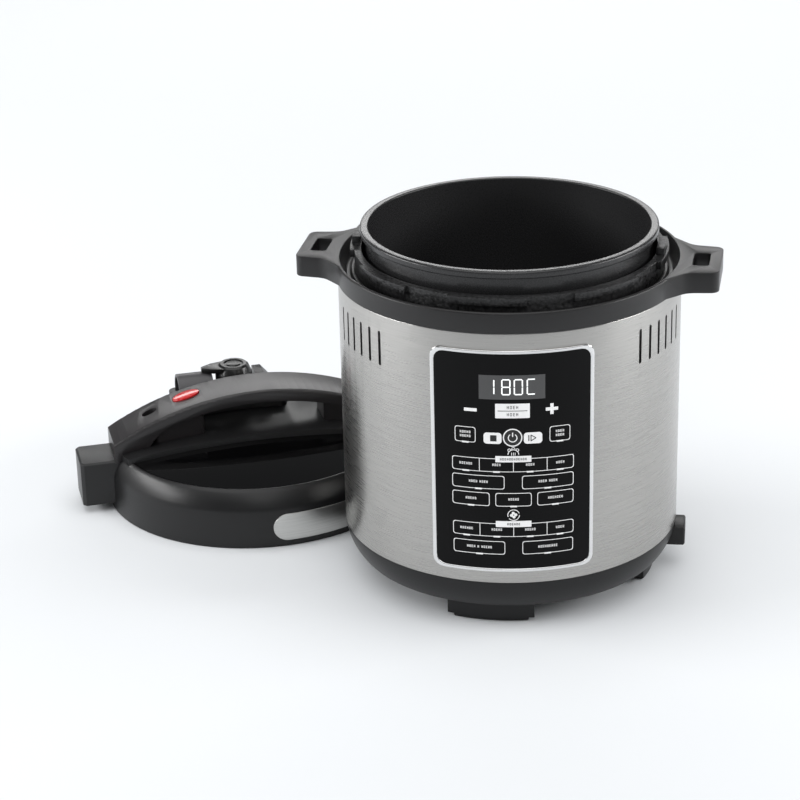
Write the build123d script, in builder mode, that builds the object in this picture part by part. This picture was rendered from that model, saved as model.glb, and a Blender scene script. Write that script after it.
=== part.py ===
from build123d import *
from math import cos, radians, sin
import os

# Electric pressure cooker with its lid off and lying beside it, behind and to the left.
# Millimetres, +Z up, floor at Z = 0, control panel facing -Y.

# ---- where each group stands in the row frame
COOKER_X, COOKER_Y = 109.29, -70.9
LID_DX, LID_DY, LID_TURN = -231.6, 148.6, 16.0
GRIP_TURN, PANEL_TURN, INLET_TURN = -8.0, 0.8, -5.0

COOKER_AT = Location((COOKER_X, COOKER_Y, 0))
GRIP_AT = Location((COOKER_X, COOKER_Y, 0), (0, 0, GRIP_TURN))
PANEL_AT = Location((COOKER_X, COOKER_Y, 0), (0, 0, PANEL_TURN))
INLET_AT = Location((COOKER_X, COOKER_Y, 0), (0, 0, INLET_TURN))
LID_AT = Location((COOKER_X + LID_DX, COOKER_Y + LID_DY, 0), (0, 0, LID_TURN))

# ---- outer body
BODY_R, SHEET = 140.0, 0.8
SHELL_Z0, SHELL_Z1 = 45.0, 258.6
LIP_R = 133.0
VENT_FIRST, VENT_STEP, VENTS = 47.0, 5.15, 6
VENT_H, VENT_W, VENT_Z = 29.0, 3.0, 230.0

# ---- top ring with the side handles
RING_R, RING_Z1, HUB_R = 141.0, 275.8, 126.0
GRIP_R, GRIP_HALF, ROOT_HALF = 172.0, 31.0, 54.0
SLOT_R, SLOT_DEEP, SLOT_LONG = 156.0, 13.0, 30.0

# ---- control panel
PANEL_W, PANEL_H, PANEL_Z = 126.5, 189.5, 150.45
BEZEL_W, BEZEL_T, LENS_T = 3.0, 1.8, 1.2

# ---- pan under the body, feet, mains inlet
PAN_Z0, PAN_R0, PAN_FLOOR = 19.5, 129.3, 22.5
FOOT_R0, FOOT_R1, FOOT_HALF, PAD_Z = 92.0, 122.0, 17.0, 4.0
INLET_X0, INLET_X1, INLET_W, INLET_Z0, INLET_Z1 = 126.0, 148.0, 26.0, 22.0, 38.0

# ---- pot, liner and heater
POT_Z0, POT_Z1, POT_R, POT_T, RIM_R = 142.0, 301.8, 116.5, 2.0, 121.2
LINER_R, LINER_T, LINER_Z0 = 120.5, 1.0, 116.0
FLANGE_R, FLANGE_Z1, TAB_Z0, TABS = 129.5, 283.0, 277.0, 8
HEAT_R, HEAT_Z0, HEAT_Z1 = 86.0, 124.0, 141.7
COIL_R, COIL_TUBE = 62.0, 4.0
SENSOR_R, SENSOR_STEM, BRACKET_Z = 13.0, 4.5, 103.0

# ---- electronics
PCB_T, PCB_X, PCB_Y, PCB_Z = 1.6, 38.0, -42.0, 34.0
FAN_X, FAN_Y, FAN_Z, FAN_SIZE, FAN_DEEP = -45.0, 40.0, 26.0, 80.0, 20.0

# ---- lid
LID_R, SKIRT_T, SKIRT_Z = 135.0, 3.0, 33.5
DOME_R, DOME_EDGE_Z, DOME_MID_Z = 123.2, 49.6, 59.6
PANEL_SKIN, RIDGE_HALF, RIDGE_MID_Z, RIDGE_END_Z = 1.9, 38.5, 65.5, 54.5
LUG_X0, LUG_X1, LUG_HALF, LUG_Z0, LUG_Z1 = 125.0, 162.0, 21.5, 8.0, 48.5
ARCH_X, ARCH_HALF, ARCH_END_Z, ARCH_MID_Z = 131.0, 23.0, 64.0, 100.5
VALVE_X, VALVE_Y, DECK_Z = -9.0, 50.0, 74.0
DECK_X, DECK_W, HOOD_LIFT = -7.0, 104.0, 4.8
GLUE_GAP = 0.02
PLATE_Z, PLATE_T = 46.2, 1.3
BUTTON_X, BUTTON_Y, FLOAT_X, FLOAT_Y = -61.0, 4.0, -95.0, 2.0
KNOB_R, KNOB_Z0, KNOB_Z1 = 17.0, 74.6, 101.0

FLOOR = (Align.CENTER, Align.CENTER, Align.MIN)


def save(part, label, home):
    """Places a finished sub-part in the row frame and writes its STEP file."""
    placed = part.moved(home)
    placed.label = label
    os.makedirs("parts", exist_ok=True)
    export_step(placed, "parts/" + label + ".step")


def side_plane(azimuth, z, radius):
    """Upright plane facing outward, at an azimuth from -Y towards +X."""
    a = radians(azimuth)
    out = (sin(a), -cos(a), 0)
    return Plane(
        origin=(radius * sin(a), -radius * cos(a), z),
        x_dir=(cos(a), sin(a), 0),
        z_dir=out,
    )


def sector(inner, outer, half, centre=0.0):
    """Annular sector about a direction given in degrees from +X."""
    with BuildSketch(mode=Mode.PRIVATE) as face:
        with BuildLine():
            far = CenterArc((0, 0), outer, centre - half, 2 * half)
            near = CenterArc((0, 0), inner, centre - half, 2 * half)
            Line(far @ 0, near @ 0)
            Line(far @ 1, near @ 1)
        make_face()
    return face.sketch


def outline(points):
    """Closed polygon face from a list of points."""
    with BuildSketch(mode=Mode.PRIVATE) as face:
        with BuildLine():
            Polyline(*points, close=True)
        make_face()
    return face.sketch


def compression_spring(x, y, z0, z1, mean_r, wire_r, turns):
    """Round-wire helical spring standing on +Z."""
    rise = z1 - z0 - 2 * wire_r
    with BuildPart(mode=Mode.PRIVATE) as coil:
        with BuildLine() as path:
            Helix(pitch=rise / turns, height=rise, radius=mean_r)
        with BuildSketch(Plane(origin=path.line @ 0, z_dir=path.line % 0)):
            Circle(wire_r)
        sweep(path=path.line, is_frenet=True)
    return coil.part.moved(Location((x, y, z0 + wire_r)))


# =====================================================================================
# Cooker body
# =====================================================================================

with BuildPart() as housing_shell:
    with BuildSketch(Plane.XZ):
        add(
            outline(
                [
                    (LIP_R, SHELL_Z0),
                    (BODY_R, SHELL_Z0),
                    (BODY_R, SHELL_Z1),
                    (LIP_R + 1, SHELL_Z1),
                    (LIP_R + 1, SHELL_Z1 - SHEET),
                    (BODY_R - SHEET, SHELL_Z1 - SHEET),
                    (BODY_R - SHEET, SHELL_Z0 + SHEET),
                    (LIP_R, SHELL_Z0 + SHEET),
                ]
            )
        )
    revolve(axis=Axis.Z)
    for side in (-1, 1):
        for k in range(VENTS):
            with BuildSketch(side_plane(side * (VENT_FIRST + k * VENT_STEP), VENT_Z, BODY_R)):
                SlotOverall(VENT_H, VENT_W, rotation=90)
            extrude(amount=3, both=True, mode=Mode.SUBTRACT)
    with BuildSketch(side_plane(PANEL_TURN, PANEL_Z, BODY_R - 30)):
        RectangleRounded(PANEL_W - 16, PANEL_H - 16, 5)
    extrude(amount=40, mode=Mode.SUBTRACT)
save(housing_shell.part, "housing_shell", COOKER_AT)

with BuildPart() as top_ring:
    with BuildSketch(Plane.XY.offset(SHELL_Z1)):
        for side in (-1, 1):
            with BuildSketch(mode=Mode.PRIVATE) as grip:
                with BuildLine():
                    Polyline(
                        (side * 125, -ROOT_HALF),
                        (side * 128, -ROOT_HALF),
                        (side * 147, -GRIP_HALF - 3),
                        (side * GRIP_R, -GRIP_HALF),
                        (side * GRIP_R, GRIP_HALF),
                        (side * 147, GRIP_HALF + 3),
                        (side * 128, ROOT_HALF),
                        (side * 125, ROOT_HALF),
                        close=True,
                    )
                make_face()
                waists = grip.vertices().filter_by_position(Axis.X, 146, 148)
                if side < 0:
                    waists = grip.vertices().filter_by_position(Axis.X, -148, -146)
                fillet(waists, 16)
                ends = grip.vertices().group_by(SortBy.DISTANCE)[-1]
                fillet(ends, 7)
            add(grip.sketch)
            with Locations((side * SLOT_R, 0)):
                RectangleRounded(SLOT_DEEP, SLOT_LONG, 3, mode=Mode.SUBTRACT)
    extrude(amount=RING_Z1 - SHELL_Z1)
    with Locations((0, 0, SHELL_Z1)):
        Cylinder(RING_R - 1.5, 60, align=FLOOR, mode=Mode.SUBTRACT)
    with BuildSketch(Plane.XZ):
        add(
            outline(
                [
                    (HUB_R, SHELL_Z1),
                    (RING_R, SHELL_Z1),
                    (RING_R, RING_Z1 - 1),
                    (RING_R - 0.9, RING_Z1),
                    (RING_R - 2.6, RING_Z1),
                    (RING_R - 6, 268.2),
                    (RING_R - 7, 263.4),
                    (RING_R - 8.4, 262),
                    (HUB_R + 3.6, 262),
                    (HUB_R + 2.6, 266),
                    (HUB_R, 266),
                ]
            )
        )
    revolve(axis=Axis.Z)
save(top_ring.part, "top_ring", GRIP_AT)

with BuildPart() as base_pan:
    with BuildSketch(Plane.XZ):
        with BuildLine():
            Line((0, PAN_Z0), (PAN_R0, PAN_Z0))
            ThreePointArc((PAN_R0, PAN_Z0), (136.9, 31.5), (BODY_R, SHELL_Z0))
            Polyline((BODY_R, SHELL_Z0), (LIP_R, SHELL_Z0), (LIP_R, 43.5), (136.6, 43.5))
            ThreePointArc((136.6, 43.5), (133.6, 32), (126.6, PAN_FLOOR))
            Polyline((126.6, PAN_FLOOR), (0, PAN_FLOOR), (0, PAN_Z0))
        make_face()
    revolve(axis=Axis.Z)
    with BuildSketch(Plane.XY.offset(PAD_Z)):
        for k in range(4):
            add(sector(FOOT_R0, FOOT_R1, FOOT_HALF, 90.0 * k))
    extrude(amount=PAN_Z0 - PAD_Z)
    with BuildSketch(Plane.XY.offset(PAN_FLOOR)):
        with Locations((PCB_X, PCB_Y)):
            with GridLocations(88, 68, 2, 2):
                Circle(4)
    extrude(amount=PCB_Z - PAN_FLOOR)
    with BuildSketch(Plane.XY.offset(PAN_FLOOR)):
        with Locations((FAN_X, FAN_Y)):
            with GridLocations(71.5, 71.5, 2, 2):
                Circle(4)
    extrude(amount=FAN_Z - PAN_FLOOR)
    with Locations((PCB_X, PCB_Y, PCB_Z - 8)):
        with GridLocations(88, 68, 2, 2):
            Cylinder(1.3, 8, align=FLOOR, mode=Mode.SUBTRACT)
    with Locations((FAN_X, FAN_Y, FAN_Z - 2.5)):
        with GridLocations(71.5, 71.5, 2, 2):
            Cylinder(1.65, 2.5, align=FLOOR, mode=Mode.SUBTRACT)
    with BuildSketch(Plane.XY.offset(PAN_Z0)):
        with Locations((FAN_X, FAN_Y)):
            with GridLocations(8, 1, 8, 1):
                SlotOverall(52, 4, rotation=90)
    extrude(amount=PAN_FLOOR - PAN_Z0, mode=Mode.SUBTRACT)
    inlet_span = INLET_X1 - INLET_X0
    with BuildSketch(Plane.XY.offset(INLET_Z0)):
        with Locations(Location((0, 0, 0), (0, 0, INLET_TURN - GRIP_TURN))):
            with Locations((INLET_X0 + inlet_span / 2, 0)):
                Rectangle(inlet_span, INLET_W)
    extrude(amount=INLET_Z1 - INLET_Z0, mode=Mode.SUBTRACT)
save(base_pan.part, "base_pan", GRIP_AT)

with BuildPart() as rubber_feet:
    with BuildSketch():
        for k in range(4):
            add(sector(FOOT_R0 + 3, FOOT_R1 - 2.5, FOOT_HALF - 2, 90.0 * k))
    extrude(amount=PAD_Z)
    chamfer(rubber_feet.faces().group_by(Axis.Z)[0].edges(), 0.8)
save(rubber_feet.part, "rubber_feet", GRIP_AT)

with BuildPart() as locking_flange:
    with BuildSketch(Plane.XY.offset(SHELL_Z1)):
        Circle(HUB_R)
        Circle(LINER_R, mode=Mode.SUBTRACT)
    extrude(amount=FLANGE_Z1 - SHELL_Z1)
    with BuildSketch(Plane.XY.offset(TAB_Z0)):
        for k in range(TABS):
            add(sector(HUB_R - 1, FLANGE_R, 14.0, k * 360.0 / TABS))
    extrude(amount=FLANGE_Z1 - TAB_Z0)
    with BuildSketch(Plane.XY.offset(FLANGE_Z1)):
        for side in (0.0, 180.0):
            add(sector(LINER_R + 1, FLANGE_R - 1.5, 7.0, side))
    extrude(amount=6)
    with BuildSketch(Plane.XY.offset(SHELL_Z1)):
        with PolarLocations(HUB_R - 2.7, 8, start_angle=22.5):
            Circle(1.5)
    extrude(amount=9, mode=Mode.SUBTRACT)
save(locking_flange.part, "locking_flange", GRIP_AT)

with BuildPart() as outer_pot:
    with BuildSketch(Plane.XZ):
        add(
            outline(
                [
                    (20, LINER_Z0),
                    (LINER_R, LINER_Z0),
                    (LINER_R, SHELL_Z1 - LINER_T),
                    (HUB_R + 0.4, SHELL_Z1 - LINER_T),
                    (HUB_R + 0.4, SHELL_Z1),
                    (LINER_R - LINER_T, SHELL_Z1),
                    (LINER_R - LINER_T, LINER_Z0 + LINER_T),
                    (20, LINER_Z0 + LINER_T),
                ]
            )
        )
    revolve(axis=Axis.Z)
    with BuildSketch(Plane.XY.offset(SHELL_Z1 - LINER_T)):
        with PolarLocations(HUB_R - 2.7, 8, start_angle=22.5):
            Circle(1.7)
    extrude(amount=LINER_T, mode=Mode.SUBTRACT)
    with BuildSketch(Plane.XY.offset(LINER_Z0)):
        with Locations((59.9, 16), (59.9, -16)):
            Circle(6)
    extrude(amount=LINER_T, mode=Mode.SUBTRACT)
save(outer_pot.part, "outer_pot", GRIP_AT)

with BuildPart() as flange_screws:
    with BuildSketch(Plane.XY.offset(SHELL_Z1 - LINER_T - 1.8)):
        with PolarLocations(HUB_R - 2.7, 8, start_angle=22.5):
            Circle(2.6)
    extrude(amount=1.8)
    with BuildSketch(Plane.XY.offset(SHELL_Z1 - LINER_T)):
        with PolarLocations(HUB_R - 2.7, 8, start_angle=22.5):
            Circle(1.45)
    extrude(amount=8)
save(flange_screws.part, "flange_screws", GRIP_AT)

with BuildPart() as inner_pot:
    with BuildSketch(Plane.XZ):
        with BuildLine():
            Line((0, POT_Z0), (100.5, POT_Z0))
            ThreePointArc((100.5, POT_Z0), (111.8, POT_Z0 + 4.7), (POT_R, POT_Z0 + 16))
            Polyline(
                (POT_R, POT_Z0 + 16),
                (POT_R, POT_Z1 - 6),
                (RIM_R - 1.4, POT_Z1 - 6),
                (RIM_R, POT_Z1 - 4.6),
                (RIM_R, POT_Z1 - 1.8),
                (RIM_R - 1.8, POT_Z1),
                (POT_R - 0.9, POT_Z1),
                (POT_R - POT_T, POT_Z1 - 1.1),
                (POT_R - POT_T, POT_Z0 + 17),
            )
            ThreePointArc((POT_R - POT_T, POT_Z0 + 17), (110.2, POT_Z0 + 6.6), (100.5, POT_Z0 + 2.5))
            Polyline((100.5, POT_Z0 + 2.5), (0, POT_Z0 + 2.5), (0, POT_Z0))
        make_face()
    revolve(axis=Axis.Z)
save(inner_pot.part, "inner_pot", GRIP_AT)

# =====================================================================================
# Heater and temperature sensor
# =====================================================================================

with BuildPart() as heating_plate:
    with BuildSketch(Plane.XZ):
        add(
            outline(
                [
                    (16, HEAT_Z0),
                    (HEAT_R - 2, HEAT_Z0),
                    (HEAT_R, HEAT_Z0 + 3),
                    (HEAT_R, HEAT_Z1 - 3),
                    (HEAT_R - 3, HEAT_Z1),
                    (17.5, HEAT_Z1),
                    (16, HEAT_Z1 - 1.5),
                ]
            )
        )
        with Locations((COIL_R, HEAT_Z0)):
            Circle(COIL_TUBE, mode=Mode.SUBTRACT)
    revolve(axis=Axis.Z)
    with BuildSketch(Plane.XY.offset(LINER_Z0 + LINER_T)):
        with PolarLocations(HEAT_R - 9, 3, start_angle=60):
            Circle(5)
    extrude(amount=HEAT_Z0 - LINER_Z0 - LINER_T)
save(heating_plate.part, "heating_plate", GRIP_AT)

with BuildPart() as heating_element:
    with BuildSketch(Plane.XZ):
        with Locations((COIL_R, HEAT_Z0)):
            Circle(COIL_TUBE)
    revolve(axis=Axis.Z, revolution_arc=330)
    heating_element.part = heating_element.part.moved(Location((0, 0, 0), (0, 0, 15)))
    with BuildSketch(Plane.XY.offset(98)):
        with Locations((59.9, 16), (59.9, -16)):
            Circle(2.8)
    extrude(amount=HEAT_Z0 - 98)
save(heating_element.part, "heating_element", GRIP_AT)

with BuildPart() as sensor_cap:
    with BuildSketch(Plane.XZ):
        add(
            outline(
                [
                    (0, 98),
                    (SENSOR_STEM, 98),
                    (SENSOR_STEM, 128),
                    (SENSOR_R, 128),
                    (SENSOR_R, HEAT_Z1 - 1.5),
                    (SENSOR_R - 1.5, HEAT_Z1),
                    (0, HEAT_Z1),
                ]
            )
        )
    revolve(axis=Axis.Z)
save(sensor_cap.part, "sensor_cap", GRIP_AT)

with BuildPart() as sensor_bracket:
    with BuildSketch(Plane.XZ):
        add(
            outline(
                [
                    (5, BRACKET_Z),
                    (20, BRACKET_Z),
                    (20, LINER_Z0 - 1.2),
                    (30, LINER_Z0 - 1.2),
                    (30, LINER_Z0),
                    (18.8, LINER_Z0),
                    (18.8, BRACKET_Z + 1.2),
                    (5, BRACKET_Z + 1.2),
                ]
            )
        )
    revolve(axis=Axis.Z)
save(sensor_bracket.part, "sensor_bracket", GRIP_AT)

sensor_spring = compression_spring(0, 0, BRACKET_Z + 1.5, 127.7, 8.0, 0.8, 5)
save(sensor_spring, "sensor_spring", GRIP_AT)

with BuildPart() as thermal_fuse:
    with Locations((-46, -52, LINER_Z0 - 7)):
        Box(14, 9, 7, align=FLOOR)
    with Locations(Location((-46, -52, LINER_Z0 - 5), (0, 90, 0))):
        Cylinder(2.4, 26)
save(thermal_fuse.part, "thermal_fuse", GRIP_AT)

# =====================================================================================
# Electronics
# =====================================================================================

with BuildPart() as power_board:
    with BuildSketch(Plane.XY.offset(PCB_Z)):
        with Locations((PCB_X, PCB_Y)):
            RectangleRounded(100, 80, 3)
            with GridLocations(88, 68, 2, 2):
                Circle(1.6, mode=Mode.SUBTRACT)
    extrude(amount=PCB_T)
save(power_board.part, "power_board", GRIP_AT)

with BuildPart() as board_parts:
    deck = PCB_Z + PCB_T
    with Locations((10, -60, deck)):
        Box(28, 24, 22, align=FLOOR)
    with Locations((10, -28, deck)):
        Box(20, 16, 15, align=FLOOR)
    with Locations((40, -26, deck)):
        Box(16, 12, 18, align=FLOOR)
    with Locations((62, -60, deck)):
        Box(24, 10, 26, align=FLOOR)
    with Locations((38, -54, deck), (38, -69, deck)):
        Cylinder(6, 20, align=FLOOR)
    with Locations((66, -34, deck)):
        Box(22, 12, 12, align=FLOOR)
save(board_parts.part, "board_parts", GRIP_AT)

with BuildPart() as board_screws:
    with Locations((PCB_X, PCB_Y, PCB_Z + PCB_T)):
        with GridLocations(88, 68, 2, 2):
            Cylinder(2.8, 1.8, align=FLOOR)
    with Locations((PCB_X, PCB_Y, PCB_Z - 6)):
        with GridLocations(88, 68, 2, 2):
            Cylinder(1.25, 6 + PCB_T, align=FLOOR)
save(board_screws.part, "board_screws", GRIP_AT)

with BuildPart() as fan_frame:
    with Locations((FAN_X, FAN_Y, FAN_Z)):
        Box(FAN_SIZE, FAN_SIZE, FAN_DEEP, align=FLOOR)
        Cylinder(37.5, FAN_DEEP, align=FLOOR, mode=Mode.SUBTRACT)
        with GridLocations(71.5, 71.5, 2, 2):
            Cylinder(2.1, FAN_DEEP, align=FLOOR, mode=Mode.SUBTRACT)
    with BuildSketch(Plane.XY.offset(FAN_Z)):
        with Locations((FAN_X, FAN_Y)):
            Circle(15)
            for turn in (20, 110):
                Rectangle(78, 4, rotation=turn)
    extrude(amount=3)
    with Locations((FAN_X, FAN_Y, FAN_Z)):
        Cylinder(2.05, 3, align=FLOOR, mode=Mode.SUBTRACT)
save(fan_frame.part, "fan_frame", GRIP_AT)

with BuildPart() as fan_rotor:
    for k in range(7):
        turn = k * 360 / 7
        a = radians(turn)
        middle = (FAN_X + 24 * cos(a), FAN_Y + 24 * sin(a), FAN_Z + 11.2)
        with Locations(Location(middle, (0, 0, turn)) * Location((0, 0, 0), (38, 0, 0))):
            Box(24, 18, 1.4)
    with Locations((FAN_X, FAN_Y, FAN_Z + 4)):
        Cylinder(36.3, 15, align=FLOOR, mode=Mode.INTERSECT)
        Cylinder(14, 15, align=FLOOR)
    with Locations((FAN_X, FAN_Y, FAN_Z + 0.4)):
        Cylinder(2.0, 4, align=FLOOR)
save(fan_rotor.part, "fan_rotor", GRIP_AT)

with BuildPart() as fan_screws:
    with Locations((FAN_X, FAN_Y, FAN_Z + FAN_DEEP)):
        with GridLocations(71.5, 71.5, 2, 2):
            Cylinder(3.2, 2, align=FLOOR)
    with Locations((FAN_X, FAN_Y, FAN_Z - 2)):
        with GridLocations(71.5, 71.5, 2, 2):
            Cylinder(1.6, 2 + FAN_DEEP, align=FLOOR)
save(fan_screws.part, "fan_screws", GRIP_AT)

with BuildPart() as mains_inlet:
    with Locations((INLET_X0, 0, INLET_Z0)):
        Box(
            inlet_span,
            INLET_W,
            INLET_Z1 - INLET_Z0,
            align=(Align.MIN, Align.CENTER, Align.MIN),
        )
    chamfer(mains_inlet.faces().sort_by(Axis.X)[-1].edges(), 1.2)
    with Locations((INLET_X1 - 14, 0, INLET_Z0 + 2.5)):
        Box(14, INLET_W - 5, 11, align=(Align.MIN, Align.CENTER, Align.MIN), mode=Mode.SUBTRACT)
    with Locations((INLET_X0, 0, INLET_Z0 + 8)):
        with GridLocations(1, 6.5, 1, 3):
            Box(12, 2, 4, align=(Align.MIN, Align.CENTER, Align.CENTER), mode=Mode.SUBTRACT)
save(mains_inlet.part, "mains_inlet", INLET_AT)

with BuildPart() as inlet_pins:
    with Locations((INLET_X0 - 6, 0, INLET_Z0 + 8)):
        with GridLocations(1, 6.5, 1, 3):
            Box(22, 2, 4, align=(Align.MIN, Align.CENTER, Align.CENTER))
save(inlet_pins.part, "inlet_pins", INLET_AT)

# =====================================================================================
# Control panel
# =====================================================================================


def panel_prism(width, height, radius):
    """Rounded upright prism reaching out through the panel opening."""
    with BuildPart(mode=Mode.PRIVATE) as prism:
        with BuildSketch(side_plane(0, PANEL_Z, BODY_R - 45)):
            RectangleRounded(width, height, radius)
        extrude(amount=55)
    return prism.part


with BuildPart() as panel_bezel:
    Cylinder(BODY_R + BEZEL_T, 260, align=FLOOR)
    Cylinder(BODY_R, 260, align=FLOOR, mode=Mode.SUBTRACT)
    add(panel_prism(PANEL_W, PANEL_H, 8), mode=Mode.INTERSECT)
    add(panel_prism(PANEL_W - 2 * BEZEL_W, PANEL_H - 2 * BEZEL_W, 5.5), mode=Mode.SUBTRACT)
save(panel_bezel.part, "panel_bezel", PANEL_AT)

with BuildPart() as panel_lens:
    Cylinder(BODY_R + LENS_T, 260, align=FLOOR)
    Cylinder(BODY_R, 260, align=FLOOR, mode=Mode.SUBTRACT)
    add(panel_prism(PANEL_W - 2 * BEZEL_W, PANEL_H - 2 * BEZEL_W, 5.5), mode=Mode.INTERSECT)
save(panel_lens.part, "panel_lens", PANEL_AT)

with BuildPart() as panel_tray:
    Cylinder(BODY_R, 260, align=FLOOR)
    Cylinder(BODY_R - SHEET - 2.6, 260, align=FLOOR, mode=Mode.SUBTRACT)
    add(panel_prism(PANEL_W - 16, PANEL_H - 16, 5), mode=Mode.INTERSECT)
    with BuildPart(mode=Mode.PRIVATE) as backing:
        Cylinder(BODY_R - SHEET, 260, align=FLOOR)
        Cylinder(BODY_R - SHEET - 2.6, 260, align=FLOOR, mode=Mode.SUBTRACT)
        add(panel_prism(PANEL_W - 4, PANEL_H - 4, 8), mode=Mode.INTERSECT)
    add(backing.part)
    with BuildSketch(Plane.XZ.offset(122.4)):
        with Locations((0, PANEL_Z)):
            with GridLocations(96, 150, 2, 2):
                Circle(3.5)
    extrude(amount=7.6)
save(panel_tray.part, "panel_tray", PANEL_AT)

with BuildPart() as display_board:
    with BuildSketch(Plane.XZ.offset(120.8)):
        with Locations((0, PANEL_Z)):
            RectangleRounded(106, 160, 3)
    extrude(amount=1.6)
save(display_board.part, "display_board", PANEL_AT)

with BuildPart() as lcd_module:
    with BuildSketch(Plane.XZ.offset(122.4)):
        with Locations((0, 214)):
            Rectangle(58, 26)
    extrude(amount=7)
    with BuildSketch(Plane.XZ.offset(122.4)):
        with Locations((0, 178)):
            with GridLocations(26, 26, 3, 1):
                Circle(3)
        with Locations((0, 118)):
            with GridLocations(30, 22, 3, 4):
                Circle(3)
    extrude(amount=4)
save(lcd_module.part, "lcd_module", PANEL_AT)

# =====================================================================================
# Condensation cup at the rear
# =====================================================================================

with BuildPart() as cup_holder:
    with Locations((0, 130, 196)):
        Box(66, 14, 52, align=(Align.CENTER, Align.MIN, Align.MIN))
    with BuildSketch(Plane.XZ.offset(-144)):
        for side in (-1, 1):
            with Locations((side * 29.5, 243.75)):
                Rectangle(7, 8.5)
            with Locations((side * 28.25, 244)):
                Rectangle(4.5, 2.6, mode=Mode.SUBTRACT)
    extrude(amount=-22)
    Cylinder(BODY_R, 260, align=FLOOR, mode=Mode.SUBTRACT)
save(cup_holder.part, "cup_holder", COOKER_AT)

with BuildPart() as condensation_cup:
    with Locations((0, 144.5, 200)):
        Box(51, 23.5, 45, align=(Align.CENTER, Align.MIN, Align.MIN))
    fillet(condensation_cup.edges().filter_by(Axis.Z), 4)
    fillet(condensation_cup.faces().sort_by(Axis.Z)[0].edges(), 2)
    with Locations((0, 146, 243)):
        Box(60, 20, 2, align=(Align.CENTER, Align.MIN, Align.MIN))
    with Locations((0, 146.3, 202)):
        Box(47, 19.9, 44, align=(Align.CENTER, Align.MIN, Align.MIN), mode=Mode.SUBTRACT)
save(condensation_cup.part, "condensation_cup", COOKER_AT)

# =====================================================================================
# Lid, handle along its own X
# =====================================================================================

with BuildPart() as lid_cover:
    with BuildSketch(Plane.XY.offset(LUG_Z0)):
        for side in (-1, 1):
            add(
                outline(
                    [
                        (side * LUG_X0, -LUG_HALF),
                        (side * (LUG_X1 - 3), -LUG_HALF),
                        (side * LUG_X1, -LUG_HALF + 3),
                        (side * LUG_X1, LUG_HALF - 3),
                        (side * (LUG_X1 - 3), LUG_HALF),
                        (side * LUG_X0, LUG_HALF),
                    ]
                )
            )
    extrude(amount=LUG_Z1 - LUG_Z0)
    chamfer(lid_cover.faces().group_by(Axis.Z)[-1].edges(), 1.5)
    with BuildSketch(Plane.XZ):
        with BuildLine():
            Polyline((0, 52), (0, 0), (LID_R - SKIRT_T, 0), (LID_R - SKIRT_T, SKIRT_Z - 1))
            ThreePointArc(
                (LID_R - SKIRT_T, SKIRT_Z - 1),
                (128.6, 40.8),
                (DOME_R - 0.2, DOME_EDGE_Z - 2.6),
            )
            Line((DOME_R - 0.2, DOME_EDGE_Z - 2.6), (0, 52))
        make_face()
    revolve(axis=Axis.Z, mode=Mode.SUBTRACT)
    with BuildSketch(Plane.XZ):
        with BuildLine():
            Polyline((LID_R - SKIRT_T, 0), (LID_R - 0.8, 0), (LID_R, 0.8), (LID_R, SKIRT_Z))
            ThreePointArc((LID_R, SKIRT_Z), (131.3, 42.4), (DOME_R + 3.2, DOME_EDGE_Z + 0.6))
            Polyline(
                (DOME_R + 3.2, DOME_EDGE_Z + 0.6),
                (DOME_R + 1.3, DOME_EDGE_Z + 2.2),
                (DOME_R, DOME_EDGE_Z + 2.2),
                (DOME_R, DOME_EDGE_Z),
            )
            ThreePointArc((DOME_R, DOME_EDGE_Z), (62, 57.0), (0, DOME_MID_Z))
            Line((0, DOME_MID_Z), (0, DOME_MID_Z - 2.6))
            ThreePointArc((0, DOME_MID_Z - 2.6), (62, 54.4), (DOME_R - 0.2, DOME_EDGE_Z - 2.6))
            ThreePointArc(
                (DOME_R - 0.2, DOME_EDGE_Z - 2.6),
                (128.6, 40.8),
                (LID_R - SKIRT_T, SKIRT_Z - 1),
            )
            Line((LID_R - SKIRT_T, SKIRT_Z - 1), (LID_R - SKIRT_T, 0))
        make_face()
    revolve(axis=Axis.Z)
    with BuildPart(mode=Mode.PRIVATE) as ridge:
        with BuildSketch(Plane.XZ):
            with BuildLine():
                ThreePointArc((-126, RIDGE_END_Z), (0, RIDGE_MID_Z), (126, RIDGE_END_Z))
                Line((126, RIDGE_END_Z), (126, 48.3))
                ThreePointArc((126, 48.3), (0, 58.3), (-126, 48.3))
                Line((-126, 48.3), (-126, RIDGE_END_Z))
            make_face()
        extrude(amount=RIDGE_HALF, both=True)
        Cylinder(127, 80, align=FLOOR, mode=Mode.INTERSECT)
    add(ridge.part)
    with BuildSketch(Plane.XY.offset(57)):
        with Locations((VALVE_X + DECK_X, VALVE_Y - 3)):
            RectangleRounded(DECK_W, 50, 8)
    extrude(amount=DECK_Z - 57)
    with BuildSketch(Plane.XZ.offset(-(VALVE_Y + 14))):
        add(
            outline(
                [
                    (VALVE_X + 19, DECK_Z - 1),
                    (VALVE_X + 19, 91),
                    (VALVE_X + 27, 91),
                    (VALVE_X + 42, DECK_Z - 1),
                ]
            )
        )
    extrude(amount=28)
    with BuildSketch(Plane.XY.offset(PLATE_Z + PLATE_T)):
        with GridLocations(128, 128, 2, 2):
            Circle(5)
    extrude(amount=5.2)
    with BuildSketch(Plane.XY.offset(PLATE_Z + PLATE_T)):
        with GridLocations(128, 128, 2, 2):
            Circle(1.5)
    extrude(amount=5, mode=Mode.SUBTRACT)
    with Locations((VALVE_X, VALVE_Y, 40)):
        Cylinder(7, 50, align=FLOOR, mode=Mode.SUBTRACT)
    with Locations((FLOAT_X, FLOAT_Y, 40)):
        Cylinder(5, 40, align=FLOOR, mode=Mode.SUBTRACT)
save(lid_cover.part, "lid_cover", LID_AT)

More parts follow.
